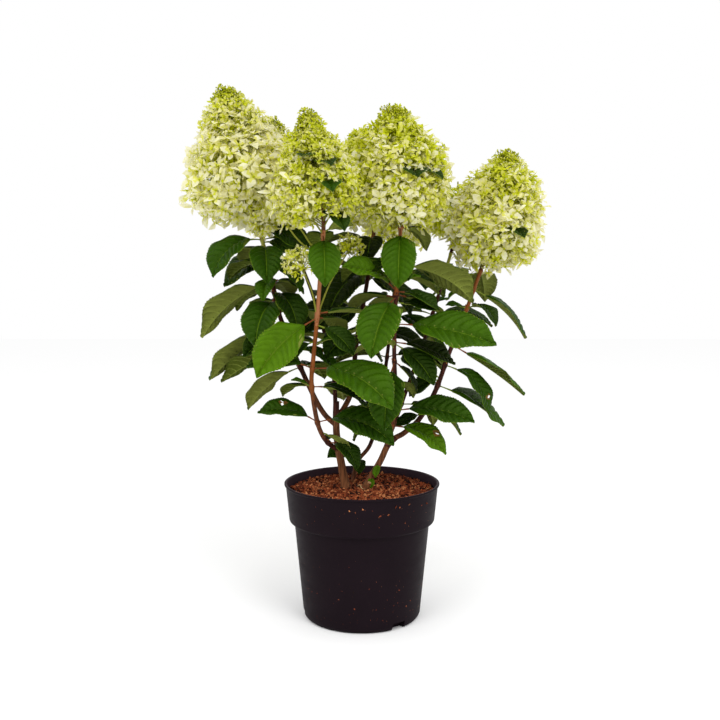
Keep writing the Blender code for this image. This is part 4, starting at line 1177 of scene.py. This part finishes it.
def floret_axes(normal, dice):
    normal = normal / np.linalg.norm(normal)
    seed = np.array((0.0, 0.0, 1.0)) if abs(normal[2]) < 0.9 else np.array((1.0, 0.0, 0.0))
    across = np.cross(seed, normal)
    across /= np.linalg.norm(across)
    aside = np.cross(normal, across)
    turn = dice.uniform(0, 2 * math.pi)
    return (
        across * math.cos(turn) + aside * math.sin(turn),
        aside * math.cos(turn) - across * math.sin(turn),
        normal,
    )


def add_floret(batch, middle, normal, size, tint, dice, cup=0.35, sepal=SEPAL):
    """Four broad sepals, each with its own length, tilt, cup and twist. A finer floret also has a bud."""
    across, aside, normal = floret_axes(normal, dice)
    flat, sepal_triangles, sepal_quads = sepal
    points, count = [], 0
    triangles, quads = [], []
    for k in range(4):
        turn = math.pi / 2 * k + dice.uniform(-0.25, 0.25)
        length = size * (1.1 if k % 2 else 0.9) * dice.uniform(0.85, 1.15)
        width = length * dice.uniform(0.70, 0.95)
        out = across * math.cos(turn) + aside * math.sin(turn)
        over = aside * math.cos(turn) - across * math.sin(turn)
        twist = dice.uniform(-0.55, 0.55)
        over = over * math.cos(twist) + normal * math.sin(twist)
        rise = cup + dice.uniform(-0.30, 0.40)
        bend = dice.uniform(-0.80, 0.15)
        sway = dice.uniform(-0.18, 0.18)
        s, w = flat[:, 0], flat[:, 1]
        up = rise * s + bend * s ** 2 + 0.55 * w ** 2
        shape = middle + np.outer(s, out) * length + np.outer(w + sway * s * s, over) * width
        points.append(shape + np.outer(up, normal) * length)
        triangles.append(sepal_triangles + count)
        quads.append(sepal_quads + count)
        count += len(flat)
    # The sepals' feet are one or two tints greener: partly their own colour, partly painted shade among the
    # sepals.
    inner = max(0, tint - 1 - (dice.random() < 0.6))
    tip = min(RIPEST, tint + (dice.random() < 0.4))
    batch.add(
        np.concatenate(points),
        (np.concatenate(quads), np.tile([inner, tint, tip, tip], 4)),
        (np.concatenate(triangles), np.tile([inner, inner, tip, tip], 4)),
    )
    if sepal is SEPAL:
        add_bud(batch, middle + normal * size * 0.10, size * 0.13, 1 if tint > 2 else 0)


BUD_POINTS = np.array([(1, 0, 0), (0, 1, 0), (-1, 0, 0), (0, -1, 0), (0, 0, 1.1), (0, 0, -1.1)])
BUD_FACES = [(0, 1, 4), (1, 2, 4), (2, 3, 4), (3, 0, 4), (1, 0, 5), (2, 1, 5), (3, 2, 5), (0, 3, 5)]


def add_bud(batch, middle, radius, tint):
    batch.add(middle + BUD_POINTS * radius, (BUD_FACES, tint))


STICK_FACES = grid_faces(2, 3, closed=True)


def add_stick(batch, start, stop, thick, thin):
    """A straight thin stalk with three sides and open ends, which are sunk into what they join."""
    ahead = stop - start
    length = np.linalg.norm(ahead)
    if length < 1e-5:
        return
    ahead = ahead / length
    across = np.cross(ahead, (0.3, 0.5, 0.81))
    across /= np.linalg.norm(across)
    aside = np.cross(ahead, across)
    angles = 2 * math.pi * np.arange(3) / 3
    ring = np.outer(np.cos(angles), across) + np.outer(np.sin(angles), aside)
    batch.add(np.concatenate([start + ring * thick, stop + ring * thin]), (STICK_FACES, BRANCHLET))


def smooth_step(low, high, value):
    t = min(1.0, max(0.0, (value - low) / (high - low)))
    return t * t * (3 - 2 * t)


def blend(pair, amount):
    return pair[0] + (pair[1] - pair[0]) * amount


class Head:
    """The space of one flower head: its axis, its radius and its lobes."""

    def __init__(self, name):
        self.name = name
        line = head_line(name)
        run = distances(line)
        self.length = run[-1]
        stations = [point_at(line, run, k / HEAD_STEPS * run[-1]) for k in range(HEAD_STEPS + 1)]
        self.stations = [(np.array(centre), np.array(ahead)) for centre, ahead in stations]
        dice = random.Random(f"lumps {name} {SEED}")
        self.lobes = [
            (dice.uniform(0.05, 0.95), dice.uniform(0, 2 * math.pi), dice.uniform(-0.15, 0.10))
            for _ in range(HEAD_LOBES)
        ]
        self.sides = HEAD_SIDES.get(name, ((1,) * 11, (1,) * 11))

    def axis(self, share):
        return self.stations[min(HEAD_STEPS, max(0, round(share * HEAD_STEPS)))]

    def out(self, share, angle):
        ahead = self.axis(share)[1]
        level = np.array((math.cos(angle), math.sin(angle), 0.0))
        level -= ahead * np.dot(level, ahead)
        return level / np.linalg.norm(level)

    def gain(self, share, angle):
        steps = np.linspace(0, 1, len(self.sides[0]))
        left, right = (np.interp(share, steps, side) for side in self.sides)
        total = left + (right - left) * ((1 + math.cos(angle)) / 2) ** 1.6
        for place, turn, gain in self.lobes:
            away = (angle - turn + math.pi) % (2 * math.pi) - math.pi
            total += gain * math.exp(-((share - place) / 0.08) ** 2 - (away / 0.45) ** 2)
        return min(MOST_GAIN, total)

    def radius(self, share, angle):
        return head_radius(self.name, share) * self.gain(share, angle)


def dress_head(batch, name):
    """Clusters of florets all over a head, each on a branchlet that springs from its axis."""
    look = HEAD_LOOKS[name]
    dice = random.Random(f"bloom {name} {SEED}")
    head = Head(name)
    share, k = look.foot, dice.randrange(1000)
    top = min(look.top, 1 - 0.9 * look.clusters[1] / head.length)
    while share < top:
        angle = math.radians(GOLDEN_TURN * k) % (2 * math.pi)
        young = smooth_step(0.45, 0.98, share)
        cluster = blend(look.clusters, young) * dice.uniform(0.88, 1.14)
        if head.gain(share, angle) > LEAST_GAIN:
            add_cluster(batch, head, look, share, angle, cluster, young, dice)
        room = 2 * math.pi * max(0.012, head_radius(name, share)) * head.length
        share += CLUSTER_SPACING * blend(look.clusters, young) ** 2 / room
        k += 1
    fill_head(batch, head, look, dice)


def ripeness(look, share):
    return blend(look.ripe, smooth_step(look.turn - look.spread, look.turn + look.spread, share))


def add_cluster(batch, head, look, share, angle, cluster, young, dice):
    """One cyme: a branchlet from the axis, and a dome of florets or buds on pedicels."""
    centre, ahead = head.axis(share)
    out = head.out(share, angle)
    tilt = 1.5 * (share - 0.30) + dice.uniform(-0.15, 0.25)
    facing = out + ahead * tilt
    facing /= np.linalg.norm(facing)
    size = blend(look.sizes, young)
    reach = head.radius(share, angle) * dice.uniform(0.94 - 0.24 * young, 1.05 + 0.08 * young) - 0.3 * size
    middle = centre + out * max(0.2 * reach, reach - cluster)
    foot = head.axis(max(0.0, share - 0.16))[0]
    knee = foot + (middle - foot) * 0.55 + ahead * 0.004
    line = smooth_line([Vector(foot), Vector(knee), Vector(middle)], 3)
    add_tube(batch, line, (0.0010, 0.0006), 5, 0.01, BRANCHLET)
    count = max(5, round(2 * math.pi * cluster ** 2 * 1.45 / (FLORET_CROWDING * size ** 2)))
    across, aside, _ = floret_axes(facing, dice)
    ripe = ripeness(look, share) + dice.gauss(0, 0.05)
    buds = share > BUD_SHARE and dice.random() < (share - BUD_SHARE) / (1 - BUD_SHARE) + 0.3
    for k in range(count):
        level = 1 - 1.25 * (k + 0.5) / count
        spin = math.radians(GOLDEN_TURN * k) + dice.uniform(-0.3, 0.3)
        flat = math.sqrt(max(0.0, 1 - level * level))
        spoke = (across * math.cos(spin) + aside * math.sin(spin)) * flat + facing * level
        spot = middle + spoke * cluster * dice.uniform(0.78, 1.12)
        add_stick(batch, middle, spot, 0.00045, 0.00035)
        if buds and dice.random() < 0.75:
            add_bud_cluster(batch, spot, spoke, size, dice)
            continue
        showy = dice.random() < look.showy * (1 - young)
        jitter = np.array([dice.gauss(0, 0.42) for _ in range(3)])
        normal = spoke + np.array((0, 0, 0.85 if showy else 0.50)) + jitter
        # Florets low on a cluster's dome, turned in towards the head, are a little greener: partly their own
        # colour, partly painted shade.
        own = ripe + dice.gauss(0, 0.15) - (0.12 if level < 0.1 else 0.0) + (0.22 if showy else -0.06)
        tint = int(min(RIPEST, max(0, round(own * 5))))
        wide = dice.uniform(1.15, 1.45) if showy else dice.uniform(0.68, 1.05)
        spot = spot + facing * (0.25 * size if showy else 0.0)
        add_floret(batch, spot, normal, size * wide, tint, dice, cup=0.35 + 0.5 * (1 - ripe))


def fill_head(batch, head, look, dice):
    """Greener florets deep in the head, which close the gaps between its clusters.

    Their green is partly their own colour and partly painted shade deep among the petals.
    """
    share, k = look.foot + 0.05, dice.randrange(1000)
    while share < look.top - 0.15:
        size = blend(look.sizes, smooth_step(0.45, 0.98, share))
        angle = math.radians(GOLDEN_TURN * k) % (2 * math.pi)
        radius = head.radius(share, angle)
        centre, ahead = head.axis(share)
        out = head.out(share, angle)
        spot = centre + out * radius * INNER_DEPTH * dice.uniform(0.8, 1.15)
        jitter = np.array([dice.gauss(0, 0.35) for _ in range(3)])
        # Deep in the head the tints are greener: partly the florets' own colour, partly painted shade.
        tint = int(min(3, max(0, round((ripeness(look, share) - 0.66) * 5))))
        if head.gain(share, angle) > LEAST_GAIN:
            add_stick(batch, centre, spot, 0.0006, 0.00045)
            add_floret(batch, spot, out + ahead * 0.3 + jitter, size, tint, dice, sepal=INNER_SEPAL)
        room = 2 * math.pi * max(0.012, head_radius(head.name, share)) * INNER_DEPTH * head.length
        share += INNER_CROWDING * size ** 2 / room
        k += 1


def add_bud_cluster(batch, middle, normal, size, dice):
    """Round unopened buds on short pedicels."""
    across, aside, normal = floret_axes(normal, dice)
    for _ in range(7):
        lean = across * dice.uniform(-1, 1) + aside * dice.uniform(-1, 1) + normal * dice.uniform(0.2, 1.1)
        spot = middle + lean * size * 0.75
        add_stick(batch, middle, spot, 0.0003, 0.00025)
        add_bud(batch, spot, dice.uniform(0.0009, 0.0016), dice.choice((0, 1, 2, 3)))


def add_tuft(batch, line, middle, radius, count, sizes, tints, dice):
    """A ball of florets at the end of a stalk."""
    add_tube(batch, line, (0.0013, 0.0009), 8, 0.004, BRANCHLET)
    middle = np.array(middle)
    ahead = np.array((line[-1] - line[-2]).normalized())
    across, aside, ahead = floret_axes(ahead, dice)
    for k in range(count):
        height = 1 - 1.75 * (k + 0.5) / count
        level = math.sqrt(max(0.0, 1 - height * height))
        turn = math.radians(GOLDEN_TURN * k)
        out = (across * math.cos(turn) + aside * math.sin(turn)) * level + ahead * height
        spot = middle + out * radius * dice.uniform(0.72, 1.0)
        add_stick(batch, middle - ahead * radius * 0.5, spot, 0.0005, 0.00035)
        jitter = np.array([dice.gauss(0, 0.35) for _ in range(3)])
        add_floret(batch, spot, out + jitter, dice.uniform(*sizes), dice.choice(tints), dice, cup=0.7)


def dress_side_heads(batch):
    for number, ((_, middle, radius), line) in enumerate(zip(SIDE_HEADS, side_head_lines())):
        dice = random.Random(f"side head {number}")
        add_tuft(batch, line, middle, radius, 46, (0.0042, 0.0075), (2, 3, 3, 4, 4), dice)
    for height, points in SIDE_STALKS:
        line = smooth_line([at_height("left_inner", height)[0], *points])
        add_tube(batch, line, (0.0014, 0.0010), 8, 0.004, BRANCHLET)
    foot = at_share(head_line("left_outer"), TUFT_SHARE)
    for number, (middle, radius) in enumerate(HANGING_TUFTS):
        dice = random.Random(f"tuft {number}")
        line = smooth_line([foot, foot.lerp(Vector(middle), 0.5) + Vector((0, 0, 0.006)), middle], 4)
        add_tuft(batch, line, middle, radius, 30, (0.0080, 0.0120), (3, 4, 4, 5, 5), dice)


DARK_STALKS = ("left_outer", "rear_left", "rear_right")


def build_blossom():
    materials = palette(PETAL_COLOURS, 0.65, 0.10, vary=0.07, patch=120, bump=0.15, grain=900, through=0.62)
    groups = [("left_outer",), ("left_inner",), ("right_inner",), ("right_outer",)]
    groups += [("centre", "rear_right"), ("rear_left",), ("rear_middle",)]
    for names in groups:
        batch = Batch()
        for name in names:
            dress_head(batch, name)
            line = head_line(name)
            add_tube(batch, line[:-2], (0.0026, 0.0012), 10, 0.004, BRANCHLET)
            tint = STALK_MAROON if name in DARK_STALKS else STALK_TAN
            add_tube(batch, line[:7], (0.0029, 0.0023), 10, 0.004, tint)
        if "left_inner" in names:
            dress_side_heads(batch)
        batch.make(f"blossom_{names[0]}", materials, [f"head_{name}" for name in names])


# The pot


def turned_points(profile, segments):
    angles = 2 * math.pi * np.arange(segments) / segments
    return np.array([
        [(r * math.cos(a), r * math.sin(a), z) for a in angles] for r, z in profile
    ])


def rounded(profile, reach, steps=4):
    """The profile with each corner but the first and last rounded over a short way."""
    made = [profile[0]]
    for before, corner, after in zip(profile, profile[1:], profile[2:]):
        a, b, c = Vector(before), Vector(corner), Vector(after)
        near = min(reach, 0.45 * (b - a).length, 0.45 * (c - b).length)
        start, stop = b + (a - b).normalized() * near, b + (c - b).normalized() * near
        for k in range(steps + 1):
            t = k / steps
            point = start * (1 - t) ** 2 + b * 2 * t * (1 - t) + stop * t ** 2
            made.append((point.x, point.y))
    made.append(profile[-1])
    return made


def body_radius(height):
    share = (height - BASE_CHAMFER) / (BAND_FOOT_HEIGHT - BASE_CHAMFER)
    return BASE_RADIUS + (BODY_TOP_RADIUS - BASE_RADIUS) * share


# One plastic inside and out: the lighter colour of the inside is painted light on the inner wall.
POT_COLOURS = {"pot_black": (24, 16, 21), "pot_inside_painted_light": (56, 42, 50)}


def build_pot():
    band_inside = BAND_TOP_RADIUS - POT_WALL
    profile = [
        (0.0, 0.0),
        (BASE_RADIUS - 0.6 * BASE_CHAMFER, 0.0),
        (BASE_RADIUS, BASE_CHAMFER),
        (BODY_TOP_RADIUS, BAND_FOOT_HEIGHT - 0.002),
        (BAND_FOOT_RADIUS - 0.001, BAND_FOOT_HEIGHT),
        (BAND_FOOT_RADIUS, BAND_FOOT_HEIGHT + 0.002),
        (BAND_TOP_RADIUS, POT_HEIGHT - LIP_HEIGHT),
        (RIM_RADIUS, POT_HEIGHT - 0.7 * LIP_HEIGHT),
        (RIM_RADIUS, POT_HEIGHT - 0.0006),
        (RIM_RADIUS - 0.0008, POT_HEIGHT),
        (band_inside, POT_HEIGHT - 0.0004),
        (BAND_FOOT_RADIUS - POT_WALL, BAND_FOOT_HEIGHT + 0.003),
        (BODY_TOP_RADIUS - POT_WALL, BAND_FOOT_HEIGHT),
        (BASE_RADIUS - POT_WALL, BASE_CHAMFER + POT_WALL),
        (0.0, BASE_CHAMFER + POT_WALL),
    ]
    rings = turned_points(rounded(profile, 0.0022)[1:-1], POT_SEGMENTS)
    count = len(rings)
    hub = count * POT_SEGMENTS
    points = np.concatenate([rings.reshape(-1, 3), [(0, 0, profile[0][1])], [(0, 0, profile[-1][1])]])
    walls = grid_faces(count, POT_SEGMENTS, closed=True)
    top_ring = max(range(count), key=lambda k: rings[k, 0, 2])
    # The inner wall and the floor inside take the lighter colour, as painted light.
    painted_light_inside = (np.arange(len(walls)) // POT_SEGMENTS > top_ring).astype(int)
    base = fan_faces(0, POT_SEGMENTS, hub, True)
    inside = fan_faces(hub - POT_SEGMENTS, POT_SEGMENTS, hub + 1)
    batch = Batch()
    batch.add(points, (walls, painted_light_inside), (base, 0), (inside, 1))
    materials = [pot_material(name, linear(*colour)) for name, colour in POT_COLOURS.items()]
    pot = batch.make("nursery_pot", materials, ["pot"])
    for azimuth in NOTCH_AZIMUTHS:
        cut_away(pot, notch_cutter(azimuth))
    for k in range(DRAIN_HOLES):
        angle = math.radians(45 + 360 * k / DRAIN_HOLES)
        centre = Vector((DRAIN_RING * math.cos(angle), DRAIN_RING * math.sin(angle), 0))
        drill = [centre - Vector((0, 0, 0.01)), centre + Vector((0, 0, 0.02))]
        cut_away(pot, cutter_of(*tube(drill, [DRAIN_RADIUS] * 2, 28)))
    pot.data.shade_smooth()
    pot.data.set_sharp_from_angle(angle=math.radians(50))


def cutter_of(points, faces):
    mesh = bpy.data.meshes.new("cutter")
    mesh.from_pydata([tuple(p) for p in points], [], faces)
    shape = bmesh.new()
    shape.from_mesh(mesh)
    bmesh.ops.recalc_face_normals(shape, faces=shape.faces)
    shape.to_mesh(mesh)
    shape.free()
    return new_object("cutter", mesh)


def notch_cutter(azimuth):
    outwards = Matrix.Rotation(math.radians(azimuth), 4, "Z")
    low, high = BASE_RADIUS - NOTCH_DEPTH, BASE_RADIUS + NOTCH_DEPTH
    half = NOTCH_WIDTH / 2
    points = [
        outwards @ Vector((x, y, z))
        for x in (low, high)
        for y in (-half, half)
        for z in (-NOTCH_HEIGHT, NOTCH_HEIGHT)
    ]
    return cutter_of(points, BOX_FACES)


def cut_away(target, cutter):
    """Cuts at once, and removes the cutter."""
    made = target.modifiers.new("cut", "BOOLEAN")
    made.operation = "DIFFERENCE"
    made.object = cutter
    bpy.context.view_layer.update()
    graph = bpy.context.evaluated_depsgraph_get()
    mesh = bpy.data.meshes.new_from_object(target.evaluated_get(graph))
    target.modifiers.clear()
    target.data = mesh
    bpy.data.objects.remove(cutter)


def pot_material(name, colour):
    """Matte plastic with a slight mould grain and scuffs."""
    made = finish(name, colour, 0.55, 0.035, vary=0.10, patch=18, bump=0.10, grain=700)
    place = new_node(made, "TexCoord").outputs["Object"]
    stretched = new_node(made, "Mapping", place, Scale=(1, 1, 3)).outputs["Vector"]
    scuffs = new_node(made, "TexNoise", stretched, Scale=22, Detail=8, Roughness=0.7)
    worn = new_node(made, "MapRange", From_Min=0.45, From_Max=0.75, To_Min=0.46, To_Max=0.60)
    link = made.node_tree.links.new
    link(scuffs.outputs["Fac"], worn.inputs["Value"])
    link(worn.outputs["Result"], made.node_tree.nodes["Principled BSDF"].inputs["Roughness"])
    return made


# The potting mix

MIX_COLOURS = {
    "mix_dark": (42, 15, 9), "mix_brown": (92, 41, 23), "mix_red": (126, 60, 33), "mix_tan": (152, 83, 49),
    "mix_pale": (182, 116, 74),
}
MIX_SEGMENTS = 150
MIX_RINGS = 44
EDGE_DROP = 0.0042
EDGE_SPAN = (0.090, 0.110)
# Waves of the mix's top: how close together and how high
LUMPS = ((60, 0.0011), (130, 0.0008), (290, 0.0006))
CHIPS = 7600
CHIP_SIZES = (0.0010, 0.0031)
CHIP_TINTS = (0, 0, 1, 1, 2, 2, 2, 3, 3, 4)
FIBRES = 700
SPECKS = 420
SPECK_THIN = 0.0001
SPECKS_FROM = 0.012
SPECKS_SPAN = 0.128
SPECKS_ON_BAND = 0.25


def mix_materials():
    return palette(MIX_COLOURS, 0.9, 0.1, vary=0.3, patch=320, bump=0.6, grain=900)


def mix_height(x, y):
    """The lumpy top of the mix, rounded down at the wall."""
    radius = math.hypot(x, y)
    edge = EDGE_DROP * smooth_step(*EDGE_SPAN, radius)
    lumps = 0.0
    for k, (scale, size) in enumerate(LUMPS):
        wave = scale * x + 3 * k + 1.7 * math.sin(0.6 * scale * y)
        lumps += size * math.sin(wave) * math.cos(scale * y - 2 * k)
    return SOIL_HEIGHT - 0.0008 - edge + lumps


def build_potting_mix():
    inset = POT_WALL + GAP
    top_radius = BAND_TOP_RADIUS - inset - 0.0016
    foot_radius = BASE_RADIUS - NOTCH_DEPTH - 2 * GAP
    wall = [
        (BAND_FOOT_RADIUS - inset - 0.0012, BAND_FOOT_HEIGHT + 0.0046),
        (BODY_TOP_RADIUS - inset - GAP, BAND_FOOT_HEIGHT + GAP),
        (body_radius(NOTCH_HEIGHT + 0.002) - inset - 0.0002, NOTCH_HEIGHT + 0.002),
        (foot_radius, NOTCH_HEIGHT + GAP),
        (foot_radius, BASE_CHAMFER + inset),
    ]
    angles = [2 * math.pi * k / MIX_SEGMENTS for k in range(MIX_SEGMENTS)]
    round_once = [(math.cos(angle), math.sin(angle)) for angle in angles]
    points = []
    for k in range(1, MIX_RINGS + 1):
        radius = top_radius * k / MIX_RINGS
        points += [(radius * x, radius * y, mix_height(radius * x, radius * y)) for x, y in round_once]
    for radius, height in wall:
        points += [(radius * x, radius * y, height) for x, y in round_once]
    hub = len(points)
    points += [(0, 0, mix_height(0, 0)), (0, 0, BASE_CHAMFER + inset)]
    faces = grid_faces(MIX_RINGS + len(wall), MIX_SEGMENTS, closed=True)[:, ::-1]
    top, bottom = fan_faces(0, MIX_SEGMENTS, hub), fan_faces(hub - MIX_SEGMENTS, MIX_SEGMENTS, hub + 1, True)
    batch = Batch()
    batch.add(points, (faces, 0), (top, 0), (bottom, 0))
    dice = random.Random(SEED)

    def spot_on_top(share):
        radius, angle = top_radius * share * math.sqrt(dice.random()), dice.uniform(0, 2 * math.pi)
        x, y = radius * math.cos(angle), radius * math.sin(angle)
        return np.array((x, y, mix_height(x, y)))

    for _ in range(CHIPS):
        place = spot_on_top(0.985) + (0, 0, dice.uniform(-0.0006, 0.0016))
        add_chip(batch, place, dice, dice.uniform(*CHIP_SIZES))
    for _ in range(FIBRES):
        add_fibre(batch, spot_on_top(0.94) + (0, 0, 0.0012), dice)
    batch.make("potting_mix_surface", mix_materials(), ["potting_mix"], smooth=False)


CHIP_CORNERS = np.array([(x, y, z) for x in (-1, 1) for y in (-1, 1) for z in (-1, 1)], float)
BOX_FACES = [(0, 1, 3, 2), (4, 6, 7, 5), (0, 4, 5, 1), (2, 3, 7, 6), (0, 2, 6, 4), (1, 5, 7, 3)]


def random_turn(dice, flat=1.0):
    one, other = (Matrix.Rotation(dice.gauss(0, 0.5) * flat, 3, axis) for axis in "XY")
    return np.array(Matrix.Rotation(dice.uniform(0, 6.28), 3, "Z") @ (one @ other))


def add_chip(batch, place, dice, size):
    """An irregular flattened crumb of bark."""
    stretch_by = np.array([dice.uniform(*ends) for ends in ((0.7, 2.2), (0.30, 0.64), (0.22, 0.46))]) * size
    dents = np.array([[dice.uniform(-1, 1) for _ in range(3)] for _ in range(8)])
    corners = CHIP_CORNERS * stretch_by * (1 + 0.35 * dents)
    tint = dice.choice(CHIP_TINTS)
    batch.add(place + corners @ random_turn(dice).T, (BOX_FACES, tint))


def add_fibre(batch, place, dice):
    """A short curved coir fibre."""
    length = dice.uniform(0.004, 0.011)
    turn = random_turn(dice, 0.35)
    bow = dice.uniform(-0.25, 0.25)
    line = []
    for k in range(4):
        t = k / 3 - 0.5
        line.append(Vector(place + turn @ np.array((t * length, bow * length * (0.25 - t * t) * 2, 0.0))))
    radius = dice.uniform(0.00018, 0.00042)
    add_tube(batch, line, (radius, radius), 4, 0.0025, dice.choice((2, 3, 3, 4)))


def build_specks():
    """Crumbs of the mix that cling to the pot's wall, more of them low down."""
    batch = Batch()
    dice = random.Random(SEED + 5)
    for _ in range(SPECKS):
        azimuth = dice.uniform(0, 2 * math.pi)
        height = SPECKS_FROM + SPECKS_SPAN * dice.random() ** 1.6
        if dice.random() < SPECKS_ON_BAND:
            height = dice.uniform(BAND_FOOT_HEIGHT + 0.006, POT_HEIGHT - 0.010)
            share = (height - BAND_FOOT_HEIGHT) / (POT_HEIGHT - LIP_HEIGHT - BAND_FOOT_HEIGHT)
            radius = BAND_FOOT_RADIUS + (BAND_TOP_RADIUS - BAND_FOOT_RADIUS) * share
        else:
            radius = body_radius(height)
        size = 0.00018 + 0.0007 * dice.random() ** 7
        wide, high = size * dice.uniform(0.5, 1.0), size * dice.uniform(0.7, 2.0)
        corners = CHIP_CORNERS * np.array((SPECK_THIN, wide, high))
        spin = Matrix.Rotation(azimuth, 3, "Z") @ Matrix.Rotation(dice.uniform(-1.2, 1.2), 3, "X")
        place = np.array((radius * math.cos(azimuth), radius * math.sin(azimuth), height))
        batch.add(place + corners @ np.array(spin).T, (BOX_FACES, dice.choice((1, 1, 2, 2, 3, 4))))
    batch.make("pot_specks", mix_materials(), smooth=False)


# Floor, lights and camera

CAMERA_PLACE = (-0.0028, -1.331, 0.504)
CAMERA_PITCH = 0.092
CAMERA_LENS = 45.5
SENSOR_WIDTH = 36
LIGHT_TARGET = Vector((0, 0, 0.45))
# Place, diameter in metres and watts
LIGHTS = {"key": ((1.0, -1.6, 2.0), 1.3, 22), "fill": ((-1.1, -1.6, 2.0), 1.4, 14)}
FLOOR_HALF = 6.0
FLOOR_DROP = 0.0005


def build_stage():
    mesh = bpy.data.meshes.new("floor")
    half = FLOOR_HALF
    corners = [(-half, -half, 0), (half, -half, 0), (half, half, 0), (-half, half, 0)]
    mesh.from_pydata(corners, [], [(0, 1, 2, 3)])
    mesh.materials.append(finish("floor_white", (0.97, 0.97, 0.97, 1), 0.9, 0.0, vary=0.0))
    floor = new_object("floor", mesh)
    floor.location.z = -FLOOR_DROP
    world = bpy.data.worlds.new("studio")
    world.use_nodes = True
    background = world.node_tree.nodes["Background"]
    background.inputs["Color"].default_value = (1, 1, 1, 1)
    background.inputs["Strength"].default_value = 1.0
    bpy.context.scene.world = world


def build_lights():
    for name, (place, size, watts) in LIGHTS.items():
        data = bpy.data.lights.new(name, "AREA")
        data.shape = "DISK"
        data.size = size
        data.energy = watts
        made = new_object(name, data)
        made.location = place
        made.rotation_euler = (LIGHT_TARGET - Vector(place)).to_track_quat("-Z", "Y").to_euler()


def build_camera():
    data = bpy.data.cameras.new("camera")
    data.lens = CAMERA_LENS
    data.sensor_width = SENSOR_WIDTH
    camera = new_object("camera", data)
    camera.location = CAMERA_PLACE
    camera.rotation_euler = (math.pi / 2 - CAMERA_PITCH, 0, 0)
    bpy.context.scene.camera = camera


def build():
    planned = plan_foliage()
    build_stems(planned)
    build_leaves(planned)
    build_blossom()
    build_pot()
    build_potting_mix()
    build_specks()
    build_stage()
    build_lights()
    build_camera()
    bpy.context.scene.view_settings.view_transform = "Standard"


build()
